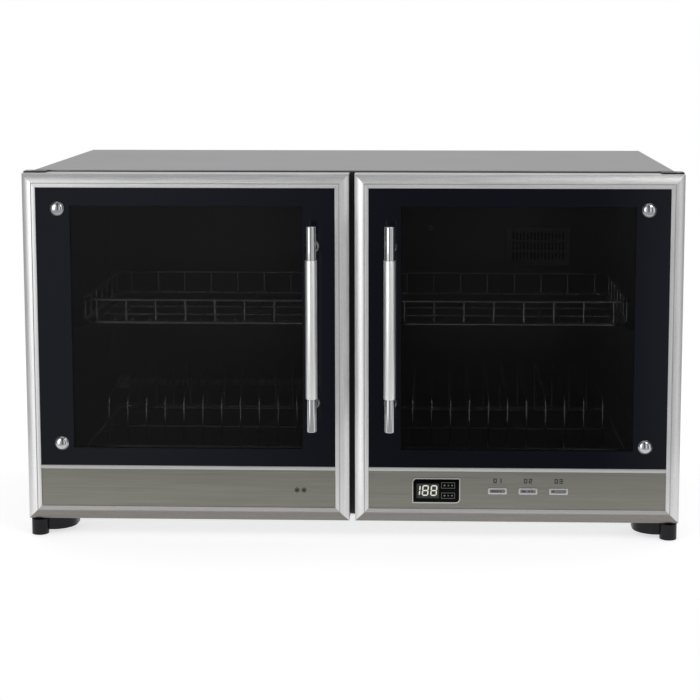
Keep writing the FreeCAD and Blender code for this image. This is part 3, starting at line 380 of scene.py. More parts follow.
def noise(tree, scale, stretch=(1.0, 1.0, 1.0), detail=3.0, rough=0.5):
    """Noise in the object's own space, stretched along its axes."""
    coord = tree.nodes.new("ShaderNodeTexCoord")
    mapping = tree.nodes.new("ShaderNodeMapping")
    mapping.inputs["Scale"].default_value = stretch
    texture = tree.nodes.new("ShaderNodeTexNoise")
    texture.inputs["Scale"].default_value = scale
    texture.inputs["Detail"].default_value = detail
    texture.inputs["Roughness"].default_value = rough
    tree.links.new(coord.outputs["Object"], mapping.inputs["Vector"])
    tree.links.new(mapping.outputs[0], texture.inputs["Vector"])
    return texture.outputs["Fac"]


def tint(tree, shader, value, dark, light):
    """Base colour between two shades by a value from 0 to 1."""
    mix = tree.nodes.new("ShaderNodeMix")
    mix.data_type = "RGBA"
    mix.inputs[6].default_value = (*dark, 1.0)
    mix.inputs[7].default_value = (*light, 1.0)
    tree.links.new(value, mix.inputs[0])
    tree.links.new(mix.outputs[2], shader.inputs["Base Color"])


def bump(tree, shader, value, distance):
    """Surface relief from a value; distance is its height in metres."""
    node = tree.nodes.new("ShaderNodeBump")
    node.inputs["Strength"].default_value = 1.0
    node.inputs["Distance"].default_value = distance
    tree.links.new(value, node.inputs["Height"])
    tree.links.new(node.outputs[0], shader.inputs["Normal"])


def brushed_metal(name, dark, light, rough, along, relief=0.00002, fine=900.0, cloud=7.0):
    """Metal with hairlines along one axis ("x", "y" or "z") and a faint cloudiness of a given scale."""
    material, shader = new_material(name, light, 1.0, rough[0])
    tree = material.node_tree
    stretch = [HAIRLINE if axis == along else 1.0 for axis in "xyz"]
    lines = noise(tree, fine, stretch, 2.0, 0.6)
    shade = remap(tree, noise(tree, cloud), 0.0, 0.3)
    blend = combine(tree, "MULTIPLY_ADD", remap(tree, lines, 0.0, 1.0), 0.7, shade)
    tint(tree, shader, blend, dark, light)
    tree.links.new(remap(tree, lines, rough[0], rough[1]), shader.inputs["Roughness"])
    bump(tree, shader, lines, relief)
    return material


def dulled(material, edge):
    """The same metal, duller where it is seen along its surface."""
    shader = material.node_tree.nodes["Principled BSDF"]
    shader.inputs["Specular Tint"].default_value = (edge, edge, edge, 1.0)
    return material


def satin_metal(name, colour, rough):
    """Fine bead-blasted or anodised metal."""
    material, shader = new_material(name, colour, 1.0, rough)
    tree = material.node_tree
    speck = noise(tree, 2600.0, detail=1.0)
    darker = tuple(c * 0.93 for c in colour)
    tint(tree, shader, remap(tree, noise(tree, 11.0), 0.0, 1.0), darker, colour)
    tree.links.new(remap(tree, speck, rough - 0.03, rough + 0.05), shader.inputs["Roughness"])
    bump(tree, shader, speck, 0.000006)
    return material


def polished_metal(name, colour, rough, wave=0.000004):
    """Chrome with faint smudges and waviness; wave is the height of the ripples in metres."""
    material, shader = new_material(name, colour, 1.0, rough)
    tree = material.node_tree
    smudge = noise(tree, 60.0, detail=4.0)
    tree.links.new(remap(tree, smudge, rough * 0.6, rough * 1.9), shader.inputs["Roughness"])
    bump(tree, shader, noise(tree, 180.0, detail=1.0), wave)
    return material


def moulded_plastic(name, colour, rough, grain=1400.0, relief=0.00001, shine=0.5):
    """Moulded plastic, paint or rubber with a fine grain; shine is the strength of its reflections."""
    material, shader = new_material(name, colour, 0.0, rough)
    shader.inputs["Specular IOR Level"].default_value = shine
    tree = material.node_tree
    speck = noise(tree, grain, detail=2.0)
    darker = tuple(c * 0.8 for c in colour)
    tint(tree, shader, remap(tree, noise(tree, 25.0), 0.0, 1.0), darker, colour)
    tree.links.new(remap(tree, speck, rough - 0.05, rough + 0.08), shader.inputs["Roughness"])
    bump(tree, shader, speck, relief)
    return material


def within(tree, value, low, high, soft):
    """1 where low < value < high, else 0, with a soft edge."""
    rise = remap(tree, value, 0.0, 1.0, low - soft, low + soft)
    fall = remap(tree, value, 1.0, 0.0, high - soft, high + soft)
    return combine(tree, "MULTIPLY", rise, fall)


def printed_glass():
    """Dark tinted door glass with a printed border round the window."""
    border = (0.0054, 0.0062, 0.0105)
    clear = (0.0025, 0.0025, 0.003)
    material, shader = new_material("printed_glass", border, 0.0, 0.02)
    shader.inputs["Specular IOR Level"].default_value = 0.2
    tree = material.node_tree
    coord = tree.nodes.new("ShaderNodeTexCoord")
    place = tree.nodes.new("ShaderNodeSeparateXYZ")
    tree.links.new(coord.outputs["Object"], place.inputs[0])
    aside = combine(tree, "ABSOLUTE", place.outputs["X"])
    across = within(tree, aside, WINDOW_IN, WINDOW_OUT, WINDOW_EDGE)
    up = within(tree, place.outputs["Z"], WINDOW_LOW, WINDOW_HIGH, WINDOW_EDGE)
    window = combine(tree, "MULTIPLY", across, up)
    tint(tree, shader, window, border, clear)
    tree.links.new(remap(tree, window, 1.0, WINDOW_ALPHA, 0.0, 1.0), shader.inputs["Alpha"])
    smudge = noise(tree, 9.0, detail=5.0)
    tree.links.new(remap(tree, smudge, 0.015, 0.05), shader.inputs["Roughness"])
    return material


def clear_pane():
    """Inner pane: nearly clear, seen only by its reflections."""
    material, shader = new_material("clear_pane", (0.02, 0.024, 0.022), 0.0, 0.03)
    shader.inputs["Alpha"].default_value = 0.12
    shader.inputs["Specular IOR Level"].default_value = 0.3
    tree = material.node_tree
    smudge = noise(tree, 14.0, detail=4.0)
    tree.links.new(remap(tree, smudge, 0.02, 0.07), shader.inputs["Roughness"])
    return material


def quartz():
    """Milky quartz tube."""
    material, shader = new_material("quartz", (0.78, 0.76, 0.72), 0.0, 0.25)
    shader.inputs["Transmission Weight"].default_value = 0.35
    tree = material.node_tree
    bands = noise(tree, 260.0, (1.0, 0.1, 0.1), 1.0)
    tint(tree, shader, remap(tree, bands, 0.0, 1.0), (0.5, 0.46, 0.4), (0.85, 0.83, 0.8))
    return material


def galvanised():
    """Galvanised sheet with a faint spangle."""
    material, shader = new_material("galvanised", (0.5, 0.51, 0.52), 0.85, 0.42)
    tree = material.node_tree
    coord = tree.nodes.new("ShaderNodeTexCoord")
    cells = tree.nodes.new("ShaderNodeTexVoronoi")
    cells.inputs["Scale"].default_value = 130.0
    tree.links.new(coord.outputs["Object"], cells.inputs["Vector"])
    shade = tree.nodes.new("ShaderNodeSeparateColor")
    tree.links.new(cells.outputs["Color"], shade.inputs[0])
    tint(tree, shader, shade.outputs[0], (0.47, 0.48, 0.49), (0.535, 0.545, 0.555))
    tree.links.new(remap(tree, shade.outputs[1], 0.38, 0.46, 0.0, 1.0), shader.inputs["Roughness"])
    return material


def felt():
    """Glass-fibre felt."""
    material, shader = new_material("felt", (0.72, 0.66, 0.5), 0.0, 0.95)
    tree = material.node_tree
    fibre = noise(tree, 500.0, (1.0, 0.2, 1.0), 4.0)
    tint(tree, shader, remap(tree, fibre, 0.0, 1.0), (0.6, 0.54, 0.38), (0.8, 0.75, 0.6))
    bump(tree, shader, fibre, 0.0006)
    return material


def dark_lens():
    """Smoked display window."""
    material, shader = new_material("display_lens", (0.002, 0.0022, 0.002), 0.0, 0.08)
    shader.inputs["Specular IOR Level"].default_value = 0.05
    tree = material.node_tree
    smudge = noise(tree, 90.0, detail=3.0)
    tree.links.new(remap(tree, smudge, 0.05, 0.16), shader.inputs["Roughness"])
    return material


def glow(name, colour, strength):
    """Lit display segment."""
    material, shader = new_material(name, colour, 0.0, 0.4)
    shader.inputs["Emission Color"].default_value = (*colour, 1.0)
    shader.inputs["Emission Strength"].default_value = strength
    tree = material.node_tree
    speck = noise(tree, 1500.0, detail=1.0)
    tree.links.new(remap(tree, speck, 0.35, 0.5), shader.inputs["Roughness"])
    return material


ALU_LIGHT = (0.76, 0.76, 0.755)
ALU_DARK = (0.59, 0.59, 0.585)
# Painted shade: the bottom rail's bevel is a much darker copy of the frame aluminium, standing in for the
# dim floor it faces.
LOW_SHADED_LIGHT = (0.26, 0.248, 0.230)
LOW_SHADED_DARK = (0.20, 0.190, 0.177)


def anodised(name, dark, light, rough, along):
    """Satin anodised aluminium of the door frames, with a fine grain over its hairlines."""
    return brushed_metal(name, dark, light, rough, along, 0.000006, 1500.0, 420.0)


MATERIALS = {
    "stile": dulled(anodised("satin_stile", ALU_DARK, ALU_LIGHT, (0.38, 0.46), "z"), 0.6),
    "rail": dulled(anodised("satin_rail", ALU_DARK, ALU_LIGHT, (0.38, 0.46), "x"), 0.6),
    # Painted shade: the bars' sides and back are a darker copy of the front aluminium, so they stay grey
    # where they catch bright light.
    "frame_side": anodised("satin_frame_side", (0.42, 0.42, 0.42), (0.52, 0.52, 0.52), (0.40, 0.48), "z"),
    "low_bevel": anodised("satin_low_bevel", LOW_SHADED_DARK, LOW_SHADED_LIGHT, (0.32, 0.42), "x"),
    # Painted shade: the bottom rail's lip is a darker copy of the frame aluminium than the other lips.
    "low_lip": anodised("satin_low_lip", (0.34, 0.335, 0.325), (0.44, 0.435, 0.425), (0.38, 0.46), "x"),
    # Painted shade: the divider is a darker copy of the frame aluminium, standing in for the shade of the
    # low bar.
    "divider": anodised("satin_divider", (0.40, 0.40, 0.39), (0.51, 0.51, 0.50), (0.36, 0.44), "x"),
    # Painted shade: the groove is a darker copy of the frame aluminium, standing in for the shade in the
    # recess.
    "groove": brushed_metal("frame_groove", (0.42, 0.42, 0.42), (0.5, 0.5, 0.5), (0.4, 0.5), "z"),
    "top": dulled(brushed_metal("brushed_top", (0.36, 0.36, 0.365), (0.44, 0.44, 0.445),
                                (0.30, 0.42), "x", 0.000012), 0.63),
    "side": brushed_metal("brushed_side", (0.34, 0.34, 0.34), (0.43, 0.43, 0.43),
                          (0.32, 0.44), "z", 0.000012),
    # The fascia is brushed steel; its very low base is partly its own tone and partly painted shade,
    # standing in for the dark surroundings that its brushed finish would reflect.
    "fascia": brushed_metal("brushed_fascia", (0.198, 0.197, 0.172), (0.250, 0.249, 0.219),
                            (0.34, 0.42), "x", 0.000006),
    # Painted shade: the liner is far darker than stainless steel, so that the closed chambers read dark
    # through the glass; the rack rails share it.
    "liner": brushed_metal("rolled_liner", (0.25, 0.25, 0.255), (0.29, 0.29, 0.295),
                           (0.28, 0.34), "z", 0.000002),
    "grip": brushed_metal("satin_grip", (0.72, 0.72, 0.72), (0.86, 0.86, 0.86),
                          (0.38, 0.46), "z", 0.000004, 2400.0),
    "chrome": polished_metal("bright_chrome", (0.50, 0.50, 0.51), 0.05),
    "wire": polished_metal("wire_chrome", (0.98, 0.98, 0.99), 0.07, 0.0002),
    "zinc": satin_metal("zinc_plate", (0.62, 0.61, 0.57), 0.33),
    "steel": satin_metal("ground_steel", (0.6, 0.6, 0.6), 0.28),
    "rim": satin_metal("display_rim", (0.58, 0.58, 0.56), 0.3),
    "bezel": satin_metal("button_bezel", (0.60, 0.60, 0.60), 0.18),
    "foot": moulded_plastic("foot_plastic", (0.005, 0.005, 0.008), 0.3, shine=0.25),
    "black": moulded_plastic("black_paint", (0.010, 0.010, 0.011), 0.45),
    "grille": moulded_plastic("grille_paint", (0.75, 0.75, 0.76), 0.4),
    # Painted shade: the heater behind the grille is a dark copy of bare aluminium, so that the grille's
    # slots read dark.
    "heater": satin_metal("heater_fins", (0.10, 0.10, 0.10), 0.5),
    "rubber": moulded_plastic("rubber", (0.016, 0.016, 0.016), 0.65, 900.0, 0.00003),
    "gasket": moulded_plastic("gasket_rubber", (0.06, 0.06, 0.062), 0.6, 700.0, 0.00003),
    "nylon": moulded_plastic("nylon", (0.78, 0.77, 0.72), 0.4),
    "ceramic": moulded_plastic("ceramic", (0.80, 0.78, 0.72), 0.22),
    "fan": moulded_plastic("fan_plastic", (0.018, 0.018, 0.019), 0.42),
    "case": moulded_plastic("case_plastic", (0.62, 0.62, 0.60), 0.45),
    "board": moulded_plastic("circuit_board", (0.02, 0.13, 0.05), 0.3),
    "lens": dark_lens(),
    "patch": moulded_plastic("display_patch", (0.016, 0.020, 0.017), 0.35),
    "button": moulded_plastic("button_dark", (0.20, 0.20, 0.20), 0.3, 500.0),
    "button_mid": moulded_plastic("button_violet", (0.22, 0.22, 0.25), 0.3, 500.0),
    "button_pale": moulded_plastic("button_grey", (0.20, 0.215, 0.20), 0.35, 500.0),
    "ink": moulded_plastic("dark_ink", (0.012, 0.012, 0.012), 0.5),
    "glass": printed_glass(),
    "pane": clear_pane(),
    "quartz": quartz(),
    "galvanised": galvanised(),
    "felt": felt(),
    "digit": glow("digit_glow", (0.74, 0.73, 0.64), 0.35),
    "marker": glow("marker_glow", (0.20, 0.21, 0.18), 0.1),
}

CAD_MATERIALS = {
    "top_panel": "top", "left_side_panel": "side", "right_side_panel": "side",
    # front_frame takes the black paint as painted shade, so that the gap between the doors reads dark
    "bottom_panel": "galvanised", "back_panel": "galvanised", "front_frame": "black",
    "left_liner": "liner", "right_liner": "liner", "insulation_blankets": "felt", "rack_rails": "liner",
    "heater_tubes": "quartz", "heater_holders": "ceramic", "vent_grille": "grille", "air_heater": "heater",
    "fan_housing": "fan", "fan_rotor": "fan", "ozone_generator": "case", "power_board": "board",
    "cable_gland": "rubber", "panel_screws": "zinc", "hinge_brackets": "black", "hinge_pins": "steel",
    "magnetic_catches": "black", "front_feet": "foot", "rear_feet": "foot", "foot_pads": "rubber",
    "display_bezel": "rim", "display_lens": "lens", "button_bezels": "bezel", "control_board": "board",
    "button_1": "button", "button_2": "button_mid", "button_3": "button_pale",
}
DOOR_MATERIALS = {
    "door_frame": "stile", "hinge_bushes": "nylon", "divider": "divider", "door_glass": "glass",
    "fascia": "fascia", "inner_panel": "black", "inner_glass": "pane", "gasket": "gasket",
    "handle_grip": "grip", "handle_ends": "chrome", "glass_screws": "chrome", "basket": "wire",
    "plate_rack": "wire",
}


def dress_cad_nodes():
    """Give every carried-over CAD node its material."""
    names = dict(CAD_MATERIALS)
    for side in SIDES:
        for node, material in DOOR_MATERIALS.items():
            names[side + "_" + node] = material
    for node, material in names.items():
        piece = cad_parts[node]
        piece.data.materials.clear()
        piece.data.materials.append(MATERIALS[material])


# material slots of the door frame's bars; the sides, the groove and the bottom rail's faces are darker
# copies of the aluminium as painted shade
FRAME_SLOTS = ["stile", "rail", "low_bevel", "groove", "frame_side", "low_lip"]


# ---------------------------------------------------------------- mesh tools

class Solid:
    """Collects vertices and faces of several closed shapes for one piece."""

    def __init__(self):
        self.verts = []
        self.faces = []
        self.slots = []

    def add(self, verts, faces, slot=0):
        """Add a closed shape; slot is one material slot or a list with one for each face."""
        start = len(self.verts)
        self.verts.extend(Vector(v) for v in verts)
        self.faces.extend(tuple(start + i for i in face) for face in faces)
        slots = slot if isinstance(slot, list) else [slot] * len(faces)
        self.slots.extend(slots)

    def mirrored(self):
        """The same shapes for the other door."""
        other = Solid()
        other.verts = [Vector((-v.x, v.y, v.z)) for v in self.verts]
        other.faces = [tuple(reversed(f)) for f in self.faces]
        other.slots = list(self.slots)
        return other

    def piece(self, name, materials, smooth_angle=35.0):
        """Mesh object with outward normals, smooth where faces meet at less than the angle."""
        mesh = bpy.data.meshes.new(name)
        mesh.from_pydata([tuple(v) for v in self.verts], [], self.faces)
        for key in materials:
            mesh.materials.append(MATERIALS[key])
        mesh.polygons.foreach_set("material_index", self.slots)
        shape = bmesh.new()
        shape.from_mesh(mesh)
        bmesh.ops.recalc_face_normals(shape, faces=shape.faces)
        shape.to_mesh(mesh)
        shape.free()
        mesh.polygons.foreach_set("use_smooth", [True] * len(mesh.polygons))
        mesh.set_sharp_from_angle(angle=math.radians(smooth_angle))
        piece = bpy.data.objects.new(name, mesh)
        bpy.context.scene.collection.objects.link(piece)
        return piece


def bar_faces(count):
    """Faces of a closed bar whose two ends are outlines of the same number of points."""
    faces = [(i, (i + 1) % count, count + (i + 1) % count, count + i) for i in range(count)]
    faces.append(tuple(range(count)))
    faces.append(tuple(range(2 * count - 1, count - 1, -1)))
    return faces


def rectangle(x0, x1, z0, z1):
    """Outline of a rectangle in the XZ plane."""
    return [(x0, z0), (x1, z0), (x1, z1), (x0, z1)]


def prism(solid, outline, y0, y1, slot=0):
    """Flat shape in the XZ plane with thickness along Y."""
    verts = [Vector((x, y, z)) for y in (y0, y1) for x, z in outline]
    solid.add(verts, bar_faces(len(outline)), slot)


def lathe(solid, origin, axis, profile, slot=0, segments=56):
    """Turned shape: profile is (radius, distance along the axis), closed flat at both ends."""
    axis = Vector(axis).normalized()
    side = Vector((1, 0, 0)) if abs(axis.x) < 0.5 else Vector((0, 1, 0))
    u = axis.cross(side).normalized()
    v = axis.cross(u)
    origin = Vector(origin)
    verts, faces = [], []
    for radius, travel in profile:
        for k in range(segments):
            turn = 2 * math.pi * k / segments
            verts.append(origin + axis * travel + (u * math.cos(turn) + v * math.sin(turn)) * radius)
    for i in range(len(profile) - 1):
        here, above = i * segments, (i + 1) * segments
        for k in range(segments):
            n = (k + 1) % segments
            faces.append((here + k, here + n, above + n, above + k))
    faces.append(tuple(range(segments)))
    last = (len(profile) - 1) * segments
    faces.append(tuple(range(last + segments - 1, last - 1, -1)))
    solid.add(verts, faces, slot)


def rounded_corners(points, radii):
    """Closed outline with each corner rounded by its own radius, as pairs of point and corner number."""
    outline = []
    count = len(points)
    for i in range(count):
        here = Vector(points[i])
        before = Vector(points[i - 1])
        after = Vector(points[(i + 1) % count])
        if radii[i] <= 0:
            outline.append((here, i))
            continue
        to_before = (before - here).normalized()
        to_after = (after - here).normalized()
        turn = math.acos(max(-1.0, min(1.0, to_before.dot(to_after))))
        # a corner takes less than half of the sides that meet in it
        room = 0.49 * min((before - here).length, (after - here).length)
        reach = min(radii[i] / math.tan(turn / 2), room)
        start = here + to_before * reach
        end = here + to_after * reach
        for k in range(CORNER_STEPS + 1):
            t = k / CORNER_STEPS
            outline.append((start * (1 - t) ** 2 + here * 2 * t * (1 - t) + end * t ** 2, i))
    return outline


def frame_section():
    """Section of the door frame with small rounded edges: points (w, d) and a face class for each span."""
    run = Vector((BEVEL_WIDTH, -BEVEL_DEPTH))
    normal = Vector((-BEVEL_DEPTH, -BEVEL_WIDTH)).normalized()
    start = Vector((0.0, BEVEL_DEPTH))
    bevel = [start + run * t + normal * BEVEL_BULGE * 4 * t * (1 - t) for t in BEVEL_STEPS]
    groove = BEVEL_WIDTH + GROOVE_WIDTH
    back = DOOR_BOX[1].y - Y_DOOR
    points = [(0, back), tuple(start), *[tuple(p) for p in bevel], (BEVEL_WIDTH, 0),
              (BEVEL_WIDTH, GROOVE_DEPTH), (groove, GROOVE_DEPTH), (groove, 0), (FACE_WIDTH, 0),
              (FACE_WIDTH, GLASS_RECESS), (GLASS_EDGE, GLASS_RECESS), (GLASS_EDGE, CHANNEL_BACK),
              (FACE_WIDTH, CHANNEL_BACK), (FACE_WIDTH, CHANNEL_LIP), (FRAME_WALL, CHANNEL_LIP),
              (FRAME_WALL, REAR_LIP), (GLASS_EDGE, REAR_LIP), (GLASS_EDGE, back)]
    # radius of each corner, and class of the faces that start there, as far as the inner lip
    radii = [EDGE_RADIUS, BEVEL_FOOT, *[0] * len(bevel), EDGE_RADIUS, 0, 0, FACE_RADIUS, EDGE_RADIUS]
    kinds = ["body", *["bevel"] * (len(bevel) + 1), "groove", "groove", "groove", "lip"]
    radii += [0] * (len(points) - len(radii))
    kinds += ["body"] * (len(points) - len(kinds))
    outline = rounded_corners(points, radii)
    return [p for p, _ in outline], [kinds[corner] for _, corner in outline]


def frame_bar(solid, corner, along, inward, length, slots):
    """One mitred bar of the door frame; slots gives the material slot of each face class."""
    section, classes = frame_section()
    back = Vector((0, 1, 0))
    verts = []
    for end in (0, 1):
        for p in section:
            travel = p.x + MITRE_GAP if end == 0 else length - p.x - MITRE_GAP
            verts.append(corner + along * travel + inward * p.x + back * p.y)
    faces = bar_faces(len(section))
    solid.add(verts, faces, [slots[kind] for kind in classes] + [slots["body"]] * 2)


def bar_slots(bevel, lip):
    """Material slot of each face class of a bar."""
    names = {"body": "frame_side", "bevel": bevel, "lip": lip, "groove": "groove"}
    return {kind: FRAME_SLOTS.index(name) for kind, name in names.items()}


def door_frame_skins():
    """Door frames with rounded edges and hairline mitres."""
    low, high = DOOR_BOX
    right, up = Vector((1, 0, 0)), Vector((0, 0, 1))
    width, height = high.x - low.x, high.z - low.z
    low_out = Vector((low.x, Y_DOOR, low.z))
    low_in = Vector((high.x, Y_DOOR, low.z))
    high_out = Vector((low.x, Y_DOOR, high.z))
    stile = bar_slots("stile", "stile")
    solid = Solid()
    frame_bar(solid, low_out, up, right, height, stile)
    frame_bar(solid, low_in, up, -right, height, stile)
    # the bottom rail takes the darker copies of the aluminium, as painted shade
    frame_bar(solid, low_out, right, up, width, bar_slots("low_bevel", "low_lip"))
    frame_bar(solid, high_out, right, -up, width, bar_slots("rail", "rail"))
    for side, shape in (("left", solid), ("right", solid.mirrored())):
        piece = shape.piece(side + "_frame_bars", FRAME_SLOTS, 25.0)
        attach(piece, side + "_door")
        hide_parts(side + "_door_frame")


def dome_profile(radius, height):
    """Button-head dome that stands on a thin collar."""
    profile = [(radius * 0.96, 0.0), (radius, DOME_COLLAR * 0.4), (radius, DOME_COLLAR * 0.8),
               (radius * 0.965, DOME_COLLAR)]
    for k in range(1, DOME_STEPS):
        a = math.pi / 2 * k / DOME_STEPS
        profile.append((radius * 0.93 * math.cos(a), DOME_COLLAR + (height - DOME_COLLAR) * math.sin(a)))
    profile.append((radius * 0.02, height))
    return profile


def stud(solid, x, z, end):
    """Stud through the glass with the nut behind it; end is the Y of its far end."""
    lathe(solid, (x, Y_GLASS, z), (0, 1, 0),
          [(STUD_RADIUS, 0.0), (STUD_RADIUS, NUT_FRONT), (NUT_RADIUS, NUT_FRONT + NUT_STEP),
           (NUT_RADIUS, NUT_BACK), (STUD_RADIUS, NUT_BACK + NUT_CHAMFER), (STUD_END, end - Y_GLASS)])


def dome_screws():
    """Chrome dome screws on the hinge side of each glass."""
    low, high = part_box("left_glass_screws")
    centre_x = (low.x + high.x) / 2
    radius = (high.x - low.x) / 2
    solid = Solid()
    for z in (low.z + radius, high.z - radius):
        lathe(solid, (centre_x, Y_GLASS, z), (0, -1, 0), dome_profile(radius, Y_GLASS - low.y))
        stud(solid, centre_x, z, high.y)
    for side, shape in (("left", solid), ("right", solid.mirrored())):
        piece = shape.piece(side + "_dome_screws", ["chrome"], 40.0)
        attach(piece, side + "_door")
        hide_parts(side + "_glass_screws")


def grip_profile(radius, length):
    """Tube with small rounded ends that close on the sleeves."""
    edge = GRIP_EDGE
    return [(SLEEVE_RADIUS, 0.0), (radius - edge, 0.0), (radius - edge * 0.3, edge * 0.3), (radius, edge),
            (radius, length - edge), (radius - edge * 0.3, length - edge * 0.3),
            (radius - edge, length), (SLEEVE_RADIUS, length)]


def sleeve_profile(length):
    """Chrome sleeve with a narrow neck at the grip and a rounded far end."""
    neck = SLEEVE_RADIUS - SLEEVE_NECK
    start, end, full = SLEEVE_NECK_SPAN
    profile = [(SLEEVE_RADIUS * 0.9, 0.0), (neck, start), (neck, end), (SLEEVE_RADIUS, full),
               (SLEEVE_RADIUS, length - SLEEVE_ROUND)]
    for k in range(1, SLEEVE_STEPS + 1):
        a = math.pi / 2 * k / SLEEVE_STEPS
        profile.append((SLEEVE_RADIUS - SLEEVE_ROUND * (1 - math.cos(a)),
                        length - SLEEVE_ROUND * (1 - math.sin(a))))
    return profile


def post_profile(reach):
    """Post that flares into a collar on the glass; reach is the distance of the glass."""
    profile = [(POST_RADIUS, SLEEVE_RADIUS * 0.6)]
    for radius, steps in ((POST_RADIUS, POST_FLARE), (DOME_RADIUS, COLLAR_EDGE)):
        profile += [(radius + out * MM, reach - away * MM) for out, away in steps]
    return profile


def handles():
    """Satin grips between chrome sleeves, each sleeve with a post and a collar on the glass."""
    low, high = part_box("left_handle_grip")
    ends_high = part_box("left_handle_ends")[1]
    x, y, middle = (low + high) / 2
    radius = (high.x - low.x) / 2
    half = (high.z - low.z) / 2
    grips, ends = Solid(), Solid()
    lathe(grips, (x, y, middle - half), (0, 0, 1), grip_profile(radius, 2 * half))
    for sign in (-1, 1):
        lathe(ends, (x, y, middle + sign * half), (0, 0, sign), sleeve_profile(ends_high.z - high.z))
        z = middle + sign * POST_PITCH / 2
        lathe(ends, (x, y, z), (0, 1, 0), post_profile(Y_GLASS - y))
        stud(ends, x, z, ends_high.y)
    for side, mirror in (("left", False), ("right", True)):
        grip_piece = (grips.mirrored() if mirror else grips).piece(side + "_grip_tube", ["grip"])
        end_piece = (ends.mirrored() if mirror else ends).piece(side + "_grip_mounts", ["chrome"], 40.0)
        for piece, node, slot in ((grip_piece, "_handle_grip", "grip_metal"),
                                  (end_piece, "_handle_ends", "chrome_trim")):
            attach(piece, side + "_door")
            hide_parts(side + node)


def dividers():
    """Bright bar between glass and fascia, its lower half turned down."""
    low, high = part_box("left_divider")
    cap_back = Y_DOOR + GLASS_RECESS
    middle = (low.z + high.z) / 2
    front = low.y
    section = [(high.z, cap_back), (high.z, front + DIVIDER_EDGE), (high.z - DIVIDER_EDGE, front),
               *[(middle + rise, front + depth) for rise, depth in DIVIDER_FOLD],
               (low.z + DIVIDER_FOOT[0], front + DIVIDER_FOOT[1]), (low.z, cap_back),
               (middle - DIVIDER_WEB, cap_back), (middle - DIVIDER_WEB, high.y),
               (middle + DIVIDER_WEB, high.y), (middle + DIVIDER_WEB, cap_back)]
    solid = Solid()
    solid.add([Vector((x, y, z)) for x in (low.x, high.x) for z, y in section], bar_faces(len(section)))
    for side, shape in (("left", solid), ("right", solid.mirrored())):
        piece = shape.piece(side + "_divider_bar", ["divider"], 20.0)
        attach(piece, side + "_door")
        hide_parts(side + "_divider")


# ---------------------------------------------------------------- display and print

# bars of each figure, lettered clockwise from the top, with g across the middle
SEGMENTS = {"0": "abcdef", "1": "bc", "2": "abged", "3": "abgcd", "8": "abcdefg"}


def segment_outline(kind, size, bar):
    """One bar of a seven-segment figure as an outline about the figure's middle."""
    half_w, half_h = size[0] / 2, size[1] / 2
    gap = bar * 0.12
    level = {"a": half_h - bar / 2, "g": 0.0, "d": -half_h + bar / 2}
    if kind in level:
        z = level[kind]
        x = half_w - bar / 2 - gap
        return [(-x, z), (-x + bar / 2, z + bar / 2), (x - bar / 2, z + bar / 2), (x, z),
                (x - bar / 2, z - bar / 2), (-x + bar / 2, z - bar / 2)]
    x = (half_w - bar / 2) * (1 if kind in "bc" else -1)
    top = half_h - bar / 2 - gap if kind in "bf" else -gap
    low = gap if kind in "bf" else -half_h + bar / 2 + gap
    return [(x, low), (x + bar / 2, low + bar / 2), (x + bar / 2, top - bar / 2), (x, top),
            (x - bar / 2, top - bar / 2), (x - bar / 2, low + bar / 2)]


def lit_figure(solid, text, x, z, depth):
    """Seven-segment figure of the display, centred on a point; depth is its front and back."""
    for kind in SEGMENTS[text]:
        outline = segment_outline(kind, DIGIT_SIZE, DIGIT_BAR)
        prism(solid, [(x + px + pz * DIGIT_SLANT, z + pz) for px, pz in outline], *depth)


def block_figure(solid, text, x, z, depth):
    """Plain printed figure of square-ended strokes, centred on a point."""
    kinds = SEGMENTS[text]
    bar, half_bar = LABEL_BAR, LABEL_BAR / 2
    half_w, half_h = LABEL_SIZE[0] / 2, LABEL_SIZE[1] / 2
    for kind, level in (("a", half_h - half_bar), ("g", 0.0), ("d", half_bar - half_h)):
        if kind in kinds:
            stroke = rectangle(x - half_w, x + half_w, z + level - half_bar, z + level + half_bar)
            prism(solid, stroke, *depth)
    inner = half_bar if "g" in kinds else 0.0
    top = half_h - bar if "a" in kinds else half_h
    low = half_h - bar if "d" in kinds else half_h
    spans = {"b": (1, inner, top), "f": (-1, inner, top), "c": (1, -low, -inner), "e": (-1, -low, -inner)}
    for kind, (side, z0, z1) in spans.items():
        if kind in kinds:
            edge = x + side * half_w
            prism(solid, rectangle(edge - side * bar, edge, z + z0, z + z1), *depth)


def hollow_box(solid, x0, x1, z0, z1, depth):
    """Thin rectangular outline."""
    line = MARK_LINE
    for sides in ((x0, x1, z0, z0 + line), (x0, x1, z1 - line, z1),
                  (x0, x0 + line, z0 + line, z1 - line), (x1 - line, x1, z0 + line, z1 - line)):
        prism(solid, rectangle(*sides), *depth)


def print_depth(face, relief):
    """Front and back of the print on a face."""
    return face - relief[0], face + relief[1]


def display_print():
    """Lit figures 188, two outlined indicators with plain marks, and the paler liquid-crystal patch."""
    low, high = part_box("display_lens")
    centre = (low + high) / 2
    depth = print_depth(low.y, DIGIT_RELIEF)
    digits, marks, patch = Solid(), Solid(), Solid()
    for text, offset in DIGIT_PLACES:
        lit_figure(digits, text, centre.x + offset, centre.z + DIGIT_RISE, depth)
    x0, x1 = centre.x + MARK_BOX[0], centre.x + MARK_BOX[1]
    for row in MARK_ROWS:
        z = centre.z + row
        hollow_box(marks, x0, x1, z - MARK_HALF, z + MARK_HALF, depth)
        for k, r in enumerate(MARK_SIZES):
            spot = x0 + MARK_START + MARK_PITCH * k
            prism(marks, [(spot - r, z), (spot, z - r), (spot + r, z), (spot, z + r)], *depth)
    prism(patch, rectangle(centre.x + PATCH_X[0], centre.x + PATCH_X[1],
                           centre.z + PATCH_Z[0], centre.z + PATCH_Z[1]), *print_depth(low.y, PATCH_RELIEF))
    for name, shape, key in (("display_figures", digits, "digit"), ("display_marks", marks, "marker"),
                             ("display_patch", patch, "patch")):
        piece = shape.piece(name, [key])
        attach(piece, "right_door")


